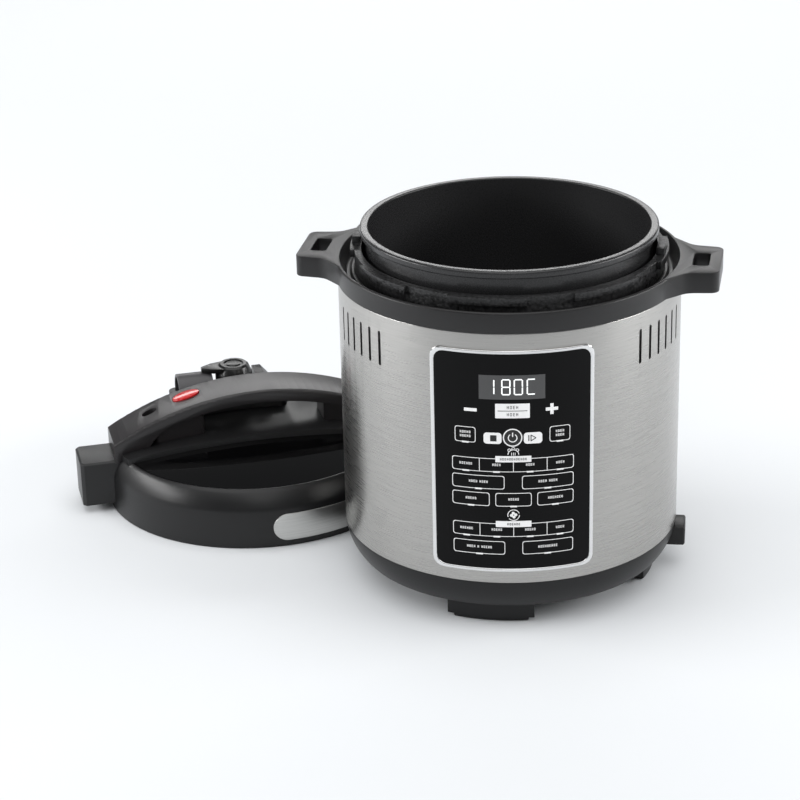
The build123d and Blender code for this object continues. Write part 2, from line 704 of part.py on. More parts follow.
with BuildPart() as dome_skin:
    with BuildSketch(Plane.XZ):
        with BuildLine():
            ThreePointArc(
                (0, DOME_MID_Z + GLUE_GAP),
                (62, 57.0 + GLUE_GAP),
                (DOME_R, DOME_EDGE_Z + GLUE_GAP),
            )
            Line((DOME_R, DOME_EDGE_Z + GLUE_GAP), (DOME_R, DOME_EDGE_Z + PANEL_SKIN))
            ThreePointArc(
                (DOME_R, DOME_EDGE_Z + PANEL_SKIN),
                (62, 57.0 + PANEL_SKIN),
                (0, DOME_MID_Z + PANEL_SKIN),
            )
            Line((0, DOME_MID_Z + PANEL_SKIN), (0, DOME_MID_Z + GLUE_GAP))
        make_face()
    revolve(axis=Axis.Z)
    Cylinder(DOME_R - 0.8, 80, align=FLOOR, mode=Mode.INTERSECT)

with BuildPart() as lid_panel_front:
    add(dome_skin.part)
    with Locations((0, -RIDGE_HALF - 0.6, 0)):
        Box(300, 120, 80, align=(Align.CENTER, Align.MAX, Align.MIN), mode=Mode.INTERSECT)
save(lid_panel_front.part, "lid_panel_front", LID_AT)

with BuildPart() as lid_panel_rear:
    add(dome_skin.part)
    with Locations((0, RIDGE_HALF + 0.6, 0)):
        Box(300, 120, 80, align=(Align.CENTER, Align.MIN, Align.MIN), mode=Mode.INTERSECT)
    with BuildSketch(Plane.XY):
        with Locations((VALVE_X + DECK_X, VALVE_Y - 3)):
            RectangleRounded(DECK_W + 1.2, 51.2, 8.6)
    extrude(amount=80, mode=Mode.SUBTRACT)
save(lid_panel_rear.part, "lid_panel_rear", LID_AT)


def arch_top(lift):
    """Region under the handle's top curve, raised by a lift."""
    with BuildPart(mode=Mode.PRIVATE) as region:
        with BuildSketch(Plane.XZ):
            with BuildLine():
                ThreePointArc(
                    (-ARCH_X, ARCH_END_Z + lift),
                    (0, ARCH_MID_Z + lift),
                    (ARCH_X, ARCH_END_Z + lift),
                )
                Polyline(
                    (ARCH_X, ARCH_END_Z + lift),
                    (ARCH_X, 20),
                    (-ARCH_X, 20),
                    (-ARCH_X, ARCH_END_Z + lift),
                )
            make_face()
        extrude(amount=ARCH_HALF, both=True)
    return region.part


with BuildPart() as lid_handle:
    add(arch_top(0))
    with BuildSketch(Plane.XZ):
        with BuildLine():
            ThreePointArc((-104, 49), (-92, 68), (-66, 80.5))
            ThreePointArc((-66, 80.5), (0, 89.5), (66, 80.5))
            ThreePointArc((66, 80.5), (92, 68), (104, 49))
            Polyline(
                (104, 49),
                (ARCH_X + 5, 46),
                (ARCH_X + 5, 10),
                (-ARCH_X - 5, 10),
                (-ARCH_X - 5, 46),
                (-104, 49),
            )
        make_face()
    extrude(amount=ARCH_HALF + 5, both=True, mode=Mode.SUBTRACT)
    fillet(lid_handle.faces().sort_by(Axis.Z)[-1].edges().filter_by(GeomType.CIRCLE), 2.5)
    with BuildPart(mode=Mode.PRIVATE) as legs:
        with Locations((-71, 0, 40)):
            Box(46, 38, 60, align=FLOOR)
        with Locations((82, 0, 40)):
            Box(42, 38, 60, align=FLOOR)
        fillet(legs.edges().filter_by(Axis.Z), 5)
        add(arch_top(-6), mode=Mode.INTERSECT)
    add(legs.part)
    with BuildPart(mode=Mode.PRIVATE) as cavity:
        with BuildSketch(Plane.XZ):
            with BuildLine():
                Polyline((0, 58.2), (0, 0), (LID_R - 1, 0), (LID_R - 1, SKIRT_Z))
                ThreePointArc((LID_R - 1, SKIRT_Z), (130.3, 41.9), (DOME_R - 0.2, DOME_EDGE_Z - 1.3))
                ThreePointArc((DOME_R - 0.2, DOME_EDGE_Z - 1.3), (62, 55.6), (0, 58.2))
            make_face()
        revolve(axis=Axis.Z)
    add(cavity.part, mode=Mode.SUBTRACT)
    add(lid_cover.part, mode=Mode.SUBTRACT)
    add(dome_skin.part, mode=Mode.SUBTRACT)
    with BuildSketch(Plane.XY.offset(72)):
        with Locations((BUTTON_X, BUTTON_Y)):
            Ellipse(12.5, 8.5)
    extrude(amount=30, mode=Mode.SUBTRACT)
    with BuildSketch(Plane.XY.offset(40)):
        with Locations((FLOAT_X, FLOAT_Y)):
            Ellipse(7, 5)
    extrude(amount=60, mode=Mode.SUBTRACT)
save(lid_handle.part, "lid_handle", LID_AT)

with BuildPart() as vent_button:
    with BuildSketch(Plane.XY.offset(82)):
        with Locations((BUTTON_X, BUTTON_Y)):
            Ellipse(12, 8)
    extrude(amount=20)
    add(arch_top(1.2), mode=Mode.INTERSECT)
save(vent_button.part, "vent_button", LID_AT)

button_spring = compression_spring(BUTTON_X, BUTTON_Y, 72.3, 81.7, 5.0, 0.5, 4)
save(button_spring, "button_spring", LID_AT)

with BuildPart() as steam_hood:
    with BuildSketch(Plane.YZ.offset(VALVE_X - 53)):
        with Locations((VALVE_Y, DECK_Z + HOOD_LIFT)):
            Circle(16)
            Rectangle(32, HOOD_LIFT, align=(Align.CENTER, Align.MAX))
            Circle(13.5, mode=Mode.SUBTRACT)
            Rectangle(27, HOOD_LIFT, align=(Align.CENTER, Align.MAX), mode=Mode.SUBTRACT)
        with Locations((VALVE_Y, DECK_Z)):
            Rectangle(40, 20, align=(Align.CENTER, Align.MAX), mode=Mode.SUBTRACT)
    extrude(amount=32)
    with BuildSketch(Plane.YZ.offset(VALVE_X - 24)):
        with Locations((VALVE_Y, DECK_Z + HOOD_LIFT)):
            Circle(15)
            Rectangle(30, HOOD_LIFT, align=(Align.CENTER, Align.MAX))
        with Locations((VALVE_Y, DECK_Z)):
            Rectangle(40, 20, align=(Align.CENTER, Align.MAX), mode=Mode.SUBTRACT)
    extrude(amount=2.5)
save(steam_hood.part, "steam_hood", LID_AT)

with BuildPart() as valve_stem:
    with Locations((VALVE_X, VALVE_Y, 38)):
        Cylinder(4, 52, align=FLOOR)
    with Locations((VALVE_X, VALVE_Y, PLATE_Z + PLATE_T)):
        Cylinder(6.5, 4, align=FLOOR)
    with Locations((VALVE_X, VALVE_Y, 42)):
        Cylinder(6.5, PLATE_Z - 42, align=FLOOR)
    with Locations((VALVE_X, VALVE_Y, 38)):
        Cylinder(1.6, 52, align=FLOOR, mode=Mode.SUBTRACT)
save(valve_stem.part, "valve_stem", LID_AT)

with BuildPart() as steam_release_knob:
    with BuildSketch(Plane.XZ):
        add(
            outline(
                [
                    (0, KNOB_Z0),
                    (KNOB_R, KNOB_Z0),
                    (KNOB_R, KNOB_Z1 - 9),
                    (KNOB_R - 3, KNOB_Z1 - 1.6),
                    (KNOB_R - 5, KNOB_Z1),
                    (9, KNOB_Z1),
                    (9, KNOB_Z1 - 1.2),
                    (6.5, KNOB_Z1 - 1.2),
                    (6.5, KNOB_Z1 - 0.2),
                    (0, KNOB_Z1 - 0.2),
                ]
            )
        )
    revolve(axis=Axis.Z)
    with BuildSketch(Plane.XY.offset(KNOB_Z1 - 5.5)):
        add(outline([(0, 13), (-20, 8), (-30, 2), (-30, -2), (-20, -8), (0, -13)]))
        Circle(6.5, mode=Mode.SUBTRACT)
    extrude(amount=4)
    with Locations((0, 0, KNOB_Z0)):
        Cylinder(4.6, 17, align=FLOOR, mode=Mode.SUBTRACT)
    with Locations((0, 0, KNOB_Z0)):
        Cylinder(14, 4, align=FLOOR, mode=Mode.SUBTRACT)
knob_at = LID_AT * Location((VALVE_X, VALVE_Y, 0))
save(steam_release_knob.part, "steam_release_knob", knob_at)

with BuildPart() as lid_inner_plate:
    with BuildSketch(Plane.XZ):
        with BuildLine():
            Line((0, PLATE_Z), (118.0, PLATE_Z))
            ThreePointArc((118.0, PLATE_Z), (126.3, 40.3), (130.3, 31.5))
            Polyline((130.3, 31.5), (130.3, 8), (131.6, 8), (131.6, 31.5))
            ThreePointArc((131.6, 31.5), (127.4, 41.0), (118.5, PLATE_Z + PLATE_T))
            Polyline((118.5, PLATE_Z + PLATE_T), (0, PLATE_Z + PLATE_T), (0, PLATE_Z))
        make_face()
    revolve(axis=Axis.Z)
    with BuildSketch(Plane.XY.offset(8)):
        for k in range(TABS):
            add(sector(127, 130.9, 11.0, (k + 0.5) * 360.0 / TABS))
    extrude(amount=4)
    with Locations((VALVE_X, VALVE_Y, 40)):
        Cylinder(4, 20, align=FLOOR, mode=Mode.SUBTRACT)
    with Locations((FLOAT_X, FLOAT_Y, 40)):
        Cylinder(3.5, 20, align=FLOOR, mode=Mode.SUBTRACT)
    with BuildSketch(Plane.XY.offset(PLATE_Z)):
        with GridLocations(128, 128, 2, 2):
            Circle(1.7)
    extrude(amount=PLATE_T, mode=Mode.SUBTRACT)
save(lid_inner_plate.part, "lid_inner_plate", LID_AT)

with BuildPart() as lid_screws:
    with Locations((0, 0, PLATE_Z - 1.8)):
        with GridLocations(128, 128, 2, 2):
            Cylinder(3.4, 1.8, align=FLOOR)
    with Locations((0, 0, PLATE_Z)):
        with GridLocations(128, 128, 2, 2):
            Cylinder(1.45, 5.5, align=FLOOR)
save(lid_screws.part, "lid_screws", LID_AT)

with BuildPart() as seal_rack:
    with BuildSketch(Plane.XZ):
        add(
            outline(
                [
                    (105.5, 36.8),
                    (109.7, 36.8),
                    (109.7, 38),
                    (106.8, 38),
                    (106.8, PLATE_Z),
                    (105.5, PLATE_Z),
                ]
            )
        )
    revolve(axis=Axis.Z)
save(seal_rack.part, "seal_rack", LID_AT)

with BuildPart() as sealing_ring:
    with BuildSketch(Plane.XZ):
        add(
            outline(
                [
                    (107.2, 38.4),
                    (111.6, 38.4),
                    (111.6, 42.6),
                    (115.7, 42.6),
                    (117.4, 38.4),
                    (119.6, 38.4),
                    (119.6, 42.8),
                    (117.6, 45.6),
                    (107.2, 45.6),
                ]
            )
        )
    revolve(axis=Axis.Z)
save(sealing_ring.part, "sealing_ring", LID_AT)

with BuildPart() as block_shield:
    with Locations((VALVE_X, VALVE_Y, 30)):
        Cylinder(15, PLATE_Z - 30, align=FLOOR)
        Cylinder(14, PLATE_Z - 31, align=FLOOR, mode=Mode.SUBTRACT)
        Cylinder(8, PLATE_Z - 30, align=FLOOR, mode=Mode.SUBTRACT)
    with Locations((VALVE_X, VALVE_Y, 29)):
        Cylinder(15, 1, align=FLOOR)
    with BuildSketch(Plane.XY.offset(33)):
        with Locations((VALVE_X, VALVE_Y)):
            for turn in range(0, 180, 30):
                Rectangle(40, 3, rotation=turn)
    extrude(amount=9, mode=Mode.SUBTRACT)
save(block_shield.part, "block_shield", LID_AT)

with BuildPart() as float_valve:
    with Locations((FLOAT_X, FLOAT_Y, 40.5)):
        Cylinder(5.5, 1.2, align=FLOOR)
        Cylinder(3.0, 27, align=FLOOR)
save(float_valve.part, "float_valve", LID_AT)

with BuildPart() as float_gasket:
    with Locations((FLOAT_X, FLOAT_Y, 38.3)):
        Cylinder(6, 2.2, align=FLOOR)
save(float_gasket.part, "float_gasket", LID_AT)

with BuildPart() as lid_badge:
    Cylinder(LID_R + 1, 60, align=FLOOR)
    Cylinder(LID_R, 60, align=FLOOR, mode=Mode.SUBTRACT)
    with BuildSketch(side_plane(18, 18.5, 60)):
        SlotOverall(104, 25)
    extrude(amount=100, mode=Mode.INTERSECT)
save(lid_badge.part, "lid_badge", LID_AT)
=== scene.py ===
"""Electric pressure cooker with its lid off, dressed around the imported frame.

The body stands upright with its inner pot in place, and the lid lies beside it on its skirt.
"""

import logging
import math
from dataclasses import dataclass, field
from enum import Enum
from typing import Iterable, Sequence

import bmesh
import bpy
from mathutils import Matrix, Vector


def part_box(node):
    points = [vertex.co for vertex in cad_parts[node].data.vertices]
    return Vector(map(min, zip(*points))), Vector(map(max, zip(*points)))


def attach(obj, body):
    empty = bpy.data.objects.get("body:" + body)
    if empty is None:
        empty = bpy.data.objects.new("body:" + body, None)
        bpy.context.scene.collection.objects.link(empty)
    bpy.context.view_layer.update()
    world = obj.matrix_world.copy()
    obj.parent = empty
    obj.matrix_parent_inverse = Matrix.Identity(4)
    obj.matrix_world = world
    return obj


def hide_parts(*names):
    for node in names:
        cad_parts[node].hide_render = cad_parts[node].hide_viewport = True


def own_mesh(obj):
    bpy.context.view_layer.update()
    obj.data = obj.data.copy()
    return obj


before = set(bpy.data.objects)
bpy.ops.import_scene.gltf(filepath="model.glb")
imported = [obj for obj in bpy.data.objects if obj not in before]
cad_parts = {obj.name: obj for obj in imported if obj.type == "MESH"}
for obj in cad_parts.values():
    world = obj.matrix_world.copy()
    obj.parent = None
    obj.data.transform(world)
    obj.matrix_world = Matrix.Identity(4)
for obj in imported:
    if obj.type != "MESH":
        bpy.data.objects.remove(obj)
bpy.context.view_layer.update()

logging.basicConfig(level=logging.INFO, format="%(message)s")
LOG = logging.getLogger("cooker")

MM = 0.001
Point2 = tuple[float, float]
Point3 = tuple[float, float, float]
Colour = tuple[float, float, float]


# ------------------------------------------------------------------------------------------------
# Places read from the frame
# ------------------------------------------------------------------------------------------------


def middle(node: str) -> Vector:
    """Gives the middle of a CAD node's box, in metres.

    Args:
        node: the CAD node's name.

    Returns:
        The middle of its box at rest.
    """
    low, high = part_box(node)
    return (low + high) / 2


COOKER = Vector((middle("inner_pot").x, middle("inner_pot").y, 0.0))
LID = Vector((middle("sealing_ring").x, middle("sealing_ring").y, 0.0))
LID_TURN = math.radians(16.0)
GRIP_TURN = math.radians(-8.0)
PANEL_TURN = math.radians(0.8)


# ------------------------------------------------------------------------------------------------
# Finishes
# ------------------------------------------------------------------------------------------------


class Grain(Enum):
    """How a surface was worked, which sets the direction of its fine texture."""

    MOULDED = "fine spark texture of a moulding tool"
    POLISHED = "polished, with a trace of wavering"
    BRUSHED_ROUND = "brushed round an upright axis"
    BRUSHED_ALONG = "brushed level, across the face"
    SPUN = "turned rings about an upright axis"
    CAST = "sand cast and coated"
    COATED = "fired non-stick coating"
    WOVEN = "printed circuit laminate"


@dataclass(frozen=True)
class Finish:
    """A surface finish that becomes one procedural material.

    Attributes:
        name: the material's name.
        colour: base colour, linear.
        grain: how the surface was worked.
        roughness: mean roughness.
        spread: how far the roughness wanders either way.
        metallic: 1 for bare metal.
        shade: how far the colour wanders, as a share of itself.
        bump: height of the fine texture, in millimetres.
        scale: fine features per metre.
        coat: clear coat weight.
        specular: dielectric specular level.
        alpha: opacity.
        transmission: share of light let through.
        glow: emission strength: the lit display's and key lamps' own light, and painted light on the white
            print, which is made to glow.
        anisotropy: how far highlights stretch across level brushing.
        centre: the axis that round grains turn about.
    """

    name: str
    colour: Colour
    grain: Grain = Grain.MOULDED
    roughness: float = 0.45
    spread: float = 0.05
    metallic: float = 0.0
    shade: float = 0.06
    bump: float = 0.03
    scale: float = 2200.0
    coat: float = 0.0
    specular: float = 0.5
    alpha: float = 1.0
    transmission: float = 0.0
    glow: float = 0.0
    anisotropy: float = 0.0
    centre: Point3 = (0.0, 0.0, 0.0)

    def material(self) -> bpy.types.Material:
        """Builds the material once and gives the same one after that.

        Returns:
            The finish as a Blender material.
        """
        label = f"finish_{self.name}"
        known = bpy.data.materials.get(label)
        if known is not None:
            return known
        made = bpy.data.materials.new(label)
        made.use_nodes = True
        tree = made.node_tree
        shader = tree.nodes["Principled BSDF"]
        self._set_constants(shader)
        place = self._grain_place(tree)
        fine = self._noise(tree, place, self.scale * self._fine_factor(), 3.0)
        broad = self._noise(tree, place, 9.0, 2.0)
        self._colour_nodes(tree, shader, fine, broad)
        self._roughness_nodes(tree, shader, fine, broad)
        self._bump_nodes(tree, shader, fine)
        made.diffuse_color = (*self.colour, self.alpha)
        return made

    def _set_constants(self, shader: bpy.types.Node) -> None:
        """Sets what is the same all over the surface on the shader's own sockets."""
        shader.inputs["Metallic"].default_value = self.metallic
        shader.inputs["Coat Weight"].default_value = self.coat
        shader.inputs["Coat Roughness"].default_value = 0.04
        shader.inputs["Specular IOR Level"].default_value = self.specular
        shader.inputs["Alpha"].default_value = self.alpha
        shader.inputs["Transmission Weight"].default_value = self.transmission
        shader.inputs["Anisotropic"].default_value = self.anisotropy
        shader.inputs["Anisotropic Rotation"].default_value = 0.25
        if self.glow > 0:
            shader.inputs["Emission Color"].default_value = (*self.colour, 1.0)
            shader.inputs["Emission Strength"].default_value = self.glow

    def _fine_factor(self) -> float:
        """Gives the share of the fine scale that this grain uses."""
        return {Grain.CAST: 0.25, Grain.POLISHED: 0.02, Grain.WOVEN: 0.4}.get(self.grain, 1.0)

    def _grain_place(self, tree: bpy.types.NodeTree) -> bpy.types.NodeSocket:
        """Adds the coordinates that the grain's noise is read at.

        Args:
            tree: the material's node tree.

        Returns:
            A vector socket, stretched along the grain.
        """
        coordinates = tree.nodes.new("ShaderNodeTexCoord")
        shift = tree.nodes.new("ShaderNodeMapping")
        shift.inputs["Location"].default_value = tuple(-c for c in self.centre)
        tree.links.new(coordinates.outputs["Object"], shift.inputs["Vector"])
        if self.grain == Grain.BRUSHED_ALONG:
            shift.inputs["Scale"].default_value = (0.02, 0.02, 1.0)
            return shift.outputs["Vector"]
        if self.grain not in (Grain.BRUSHED_ROUND, Grain.SPUN):
            return shift.outputs["Vector"]
        parts = tree.nodes.new("ShaderNodeSeparateXYZ")
        tree.links.new(shift.outputs["Vector"], parts.inputs["Vector"])
        flat = tree.nodes.new("ShaderNodeCombineXYZ")
        tree.links.new(parts.outputs["X"], flat.inputs["X"])
        tree.links.new(parts.outputs["Y"], flat.inputs["Y"])
        radius = self._vector_math(tree, "LENGTH", flat.outputs["Vector"]).outputs["Value"]
        outward = self._vector_math(tree, "NORMALIZE", flat.outputs["Vector"]).outputs["Vector"]
        around = self._vector_math(tree, "SCALE", outward)
        around.inputs["Scale"].default_value = 0.0035
        rise = tree.nodes.new("ShaderNodeCombineXYZ")
        tree.links.new(self._math(tree, "ADD", parts.outputs["Z"], radius), rise.inputs["Z"])
        joined = self._vector_math(tree, "ADD", around.outputs["Vector"], rise.outputs["Vector"])
        return joined.outputs["Vector"]

    @staticmethod
    def _vector_math(
        tree: bpy.types.NodeTree, operation: str, *values: bpy.types.NodeSocket
    ) -> bpy.types.Node:
        """Adds a vector math node.

        Args:
            tree: the material's node tree.
            operation: Blender's name of the operation.
            values: vector sockets, in order.

        Returns:
            The node.
        """
        node = tree.nodes.new("ShaderNodeVectorMath")
        node.operation = operation
        for socket, value in zip(node.inputs, values):
            tree.links.new(value, socket)
        return node

    @staticmethod
    def _math(tree: bpy.types.NodeTree, operation: str, *values: object) -> bpy.types.NodeSocket:
        """Adds a math node.

        Args:
            tree: the material's node tree.
            operation: Blender's name of the operation.
            values: sockets or numbers, in order.

        Returns:
            The node's value socket.
        """
        node = tree.nodes.new("ShaderNodeMath")
        node.operation = operation
        for socket, value in zip(node.inputs, values):
            if isinstance(value, (int, float)):
                socket.default_value = value
            else:
                tree.links.new(value, socket)
        return node.outputs["Value"]

    @staticmethod
    def _noise(
        tree: bpy.types.NodeTree, place: bpy.types.NodeSocket, scale: float, detail: float
    ) -> bpy.types.NodeSocket:
        """Adds a noise texture.

        Args:
            tree: the material's node tree.
            place: the coordinates to read it at.
            scale: features per metre.
            detail: octaves.

        Returns:
            The noise's factor socket.
        """
        node = tree.nodes.new("ShaderNodeTexNoise")
        node.inputs["Scale"].default_value = scale
        node.inputs["Detail"].default_value = detail
        tree.links.new(place, node.inputs["Vector"])
        return node.outputs["Fac"]

    def _colour_nodes(
        self,
        tree: bpy.types.NodeTree,
        shader: bpy.types.Node,
        fine: bpy.types.NodeSocket,
        broad: bpy.types.NodeSocket,
    ) -> None:
        """Lets the base colour wander between a darker and a lighter shade of itself.

        Args:
            tree: the material's node tree.
            shader: the principled shader.
            fine: fine noise.
            broad: broad noise.
        """
        blend = self._math(tree, "MULTIPLY_ADD", fine, 0.6, self._math(tree, "MULTIPLY", broad, 0.4))
        ramp = tree.nodes.new("ShaderNodeValToRGB")
        dark = tuple(c * (1 - self.shade) for c in self.colour)
        light = tuple(min(1.0, c * (1 + self.shade)) for c in self.colour)
        ramp.color_ramp.elements[0].position = 0.3
        ramp.color_ramp.elements[0].color = (*dark, 1.0)
        ramp.color_ramp.elements[1].position = 0.7
        ramp.color_ramp.elements[1].color = (*light, 1.0)
        tree.links.new(blend, ramp.inputs["Fac"])
        tree.links.new(ramp.outputs["Color"], shader.inputs["Base Color"])

    def _roughness_nodes(
        self,
        tree: bpy.types.NodeTree,
        shader: bpy.types.Node,
        fine: bpy.types.NodeSocket,
        broad: bpy.types.NodeSocket,
    ) -> None:
        """Lets the roughness wander about its mean.

        Args:
            tree: the material's node tree.
            shader: the principled shader.
            fine: fine noise.
            broad: broad noise.
        """
        blend = self._math(tree, "MULTIPLY_ADD", fine, 0.5, self._math(tree, "MULTIPLY", broad, 0.5))
        span = tree.nodes.new("ShaderNodeMapRange")
        span.inputs["From Min"].default_value = 0.3
        span.inputs["From Max"].default_value = 0.7
        span.inputs["To Min"].default_value = max(0.02, self.roughness - self.spread)
        span.inputs["To Max"].default_value = min(1.0, self.roughness + self.spread)
        tree.links.new(blend, span.inputs["Value"])
        tree.links.new(span.outputs["Result"], shader.inputs["Roughness"])

    def _bump_nodes(
        self, tree: bpy.types.NodeTree, shader: bpy.types.Node, fine: bpy.types.NodeSocket
    ) -> None:
        """Adds the fine texture as a bump.

        Args:
            tree: the material's node tree.
            shader: the principled shader.
            fine: fine noise.
        """
        if self.bump <= 0:
            return
        bump = tree.nodes.new("ShaderNodeBump")
        bump.inputs["Distance"].default_value = self.bump * MM
        bump.inputs["Strength"].default_value = 0.6
        tree.links.new(fine, bump.inputs["Height"])
        tree.links.new(bump.outputs["Normal"], shader.inputs["Normal"])


ROUND_COOKER: Point3 = tuple(COOKER)
ROUND_LID: Point3 = tuple(LID)


class Finishes:
    """Every finish on the cooker, by the part it is on."""

    SHELL = Finish("brushed_shell", (0.41, 0.402, 0.388), Grain.BRUSHED_ROUND, 0.28, 0.06, 1.0, 0.10,
                   0.006, 1500.0, anisotropy=0.6, centre=ROUND_COOKER)
    BODY = Finish("body_plastic", (0.013, 0.0125, 0.013), roughness=0.38, specular=0.4)
    PAN = Finish("pan_plastic", (0.0055, 0.0055, 0.006), roughness=0.38, specular=0.35)
    FOOT = Finish("foot_rubber", (0.012, 0.012, 0.012), roughness=0.75, bump=0.05)
    FLANGE = Finish("flange_casting", (0.036, 0.036, 0.037), Grain.CAST, 0.40, 0.18, 0.4, 0.85, 0.9,
                    1500.0)
    LINER = Finish("liner_sheet", (0.5, 0.5, 0.5), Grain.SPUN, 0.4, 0.08, 1.0, 0.08, 0.01, 900.0,
                   centre=ROUND_COOKER)
    FASTENER = Finish("fastener", (0.55, 0.55, 0.56), Grain.POLISHED, 0.3, 0.08, 1.0)
    POT = Finish("pot_coating", (0.030, 0.030, 0.031), Grain.COATED, 0.27, 0.06, 0.25, 0.2, 0.02,
                 1800.0)
    HEATER = Finish("heater_casting", (0.5, 0.5, 0.5), Grain.SPUN, 0.38, 0.08, 1.0, 0.12, 0.03, 500.0,
                    centre=ROUND_COOKER)
    TUBE = Finish("heater_tube", (0.16, 0.14, 0.12), Grain.POLISHED, 0.5, 0.12, 0.9, 0.3)
    SENSOR = Finish("sensor_metal", (0.62, 0.62, 0.62), Grain.SPUN, 0.3, 0.06, 1.0, 0.06, 0.01, 800.0,
                    centre=ROUND_COOKER)
    SPRING = Finish("spring_steel", (0.42, 0.42, 0.43), Grain.POLISHED, 0.3, 0.08, 1.0)
    BRACKET = Finish("bracket_steel", (0.45, 0.45, 0.45), Grain.POLISHED, 0.38, 0.1, 1.0)
    FUSE = Finish("fuse_body", (0.55, 0.5, 0.42), roughness=0.5)
    BOARD = Finish("circuit_board", (0.015, 0.10, 0.035), Grain.WOVEN, 0.35, 0.08, 0.0, 0.25, 0.03)
    PARTS = Finish("components", (0.02, 0.02, 0.024), roughness=0.4, shade=0.3)
    FAN = Finish("fan_plastic", (0.012, 0.012, 0.012), roughness=0.4)
    INLET = Finish("inlet_plastic", (0.008, 0.008, 0.008), roughness=0.36, specular=0.35)
    PIN = Finish("pin_brass", (0.6, 0.42, 0.16), Grain.POLISHED, 0.25, 0.06, 1.0)
    BEZEL = Finish("bezel_metal", (0.72, 0.72, 0.72), Grain.POLISHED, 0.16, 0.04, 1.0, 0.04, 0.0)
    PANEL = Finish("panel_face", (0.0025, 0.0025, 0.0027), Grain.POLISHED, 0.10, 0.02, 0.0, 0.1, 0.0,
                   specular=0.12)
    # The glow is painted light on the white print, which gives off light of its own to look brighter; the key
    # lamps share this finish.
    INK = Finish("panel_ink", (0.80, 0.80, 0.80), Grain.POLISHED, 0.4, 0.05, shade=0.03, bump=0.0,
                 glow=0.25)
    INK_BLACK = Finish("panel_ink_black", (0.006, 0.006, 0.006), Grain.POLISHED, 0.3, 0.05, bump=0.0)
    DISPLAY = Finish("display", (0.070, 0.070, 0.071), Grain.POLISHED, 0.22, 0.04, bump=0.0)
    DIGIT = Finish("display_digit", (0.86, 0.88, 0.88), Grain.POLISHED, 0.3, 0.04, bump=0.0, glow=0.8)
    CUP = Finish("cup_clear", (0.80, 0.84, 0.86), Grain.POLISHED, 0.12, 0.03, alpha=0.45, bump=0.0)
    LID = Finish("lid_plastic", (0.009, 0.009, 0.0095), roughness=0.36, specular=0.4)
    LID_GLOSS = Finish("lid_gloss", (0.002, 0.002, 0.0022), Grain.POLISHED, 0.06, 0.02,
                       bump=0.0, specular=0.3)
    HANDLE = Finish("handle_plastic", (0.022, 0.020, 0.021), roughness=0.33)
    HOOD = Finish("hood_plastic", (0.060, 0.058, 0.062), roughness=0.36)
    KNOB = Finish("knob_plastic", (0.008, 0.008, 0.008), roughness=0.28)
    RED = Finish("button_red", (0.55, 0.004, 0.006), Grain.POLISHED, 0.22, 0.03, coat=0.5, bump=0.0)
    LID_STEEL = Finish("lid_steel", (0.56, 0.56, 0.56), Grain.SPUN, 0.3, 0.06, 1.0, 0.08, 0.008, 900.0,
                       centre=ROUND_LID)
    SILICONE = Finish("silicone", (0.62, 0.63, 0.61), roughness=0.5, bump=0.01)
    GASKET = Finish("gasket_silicone", (0.45, 0.03, 0.02), roughness=0.5)
    FLOAT = Finish("float_metal", (0.65, 0.65, 0.66), Grain.POLISHED, 0.2, 0.05, 1.0)
    BADGE = Finish("badge_steel", (0.60, 0.60, 0.585), Grain.BRUSHED_ALONG, 0.34, 0.06, 1.0, 0.12,
                   0.006, 1400.0)
    FLOOR = Finish("studio_floor", (0.80, 0.82, 0.84), roughness=0.9, bump=0.0, shade=0.002)


# ------------------------------------------------------------------------------------------------
# Mesh making
# ------------------------------------------------------------------------------------------------


def mesh_object(
    name: str, points: Sequence[Sequence[float]], faces: Sequence[Sequence[int]]
) -> bpy.types.Object:
    """Makes an object from points and faces and links it to the scene.

    Args:
        name: the object's name.
        points: corner points, in metres.
        faces: faces as point numbers.

    Returns:
        The new object.
    """
    mesh = bpy.data.meshes.new(name)
    mesh.from_pydata([tuple(p) for p in points], [], [tuple(f) for f in faces])
    mesh.update()
    made = bpy.data.objects.new(name, mesh)
    bpy.context.scene.collection.objects.link(made)
    return made


def baked(obj: bpy.types.Object) -> bpy.types.Object:
    """Turns an object's modifiers into its plain mesh.

    Args:
        obj: an object with live modifiers.

    Returns:
        The same object, its mesh final and its modifiers gone.
    """
    graph = bpy.context.evaluated_depsgraph_get()
    final = bpy.data.meshes.new_from_object(obj.evaluated_get(graph))
    obj.modifiers.clear()
    obj.data = final
    final.name = obj.name
    return obj


def shade(obj: bpy.types.Object, sharp_deg: float = 32.0) -> bpy.types.Object:
    """Shades an object smooth, except across edges sharper than an angle.

    Args:
        obj: a mesh object.
        sharp_deg: the angle above which an edge stays sharp.

    Returns:
        The same object.
    """
    for face in obj.data.polygons:
        face.use_smooth = True
    obj.data.set_sharp_from_angle(angle=math.radians(sharp_deg))
    return obj


def fit(
    obj: bpy.types.Object,
    body: str,
    finish: Finish,
    replaces: Iterable[str] = (),
) -> bpy.types.Object:
    """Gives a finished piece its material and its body.

    Args:
        obj: the finished piece, its place in its mesh.
        body: the CAD body it rides on.
        finish: its surface finish.
        replaces: the CAD nodes it stands for.

    Returns:
        The same piece.
    """
    obj.data.materials.clear()
    obj.data.materials.append(finish.material())
    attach(obj, body)
    nodes = list(replaces)
    if nodes:
        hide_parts(*nodes)
    LOG.info("piece %s on %s, %d faces", obj.name, body, len(obj.data.polygons))
    return obj


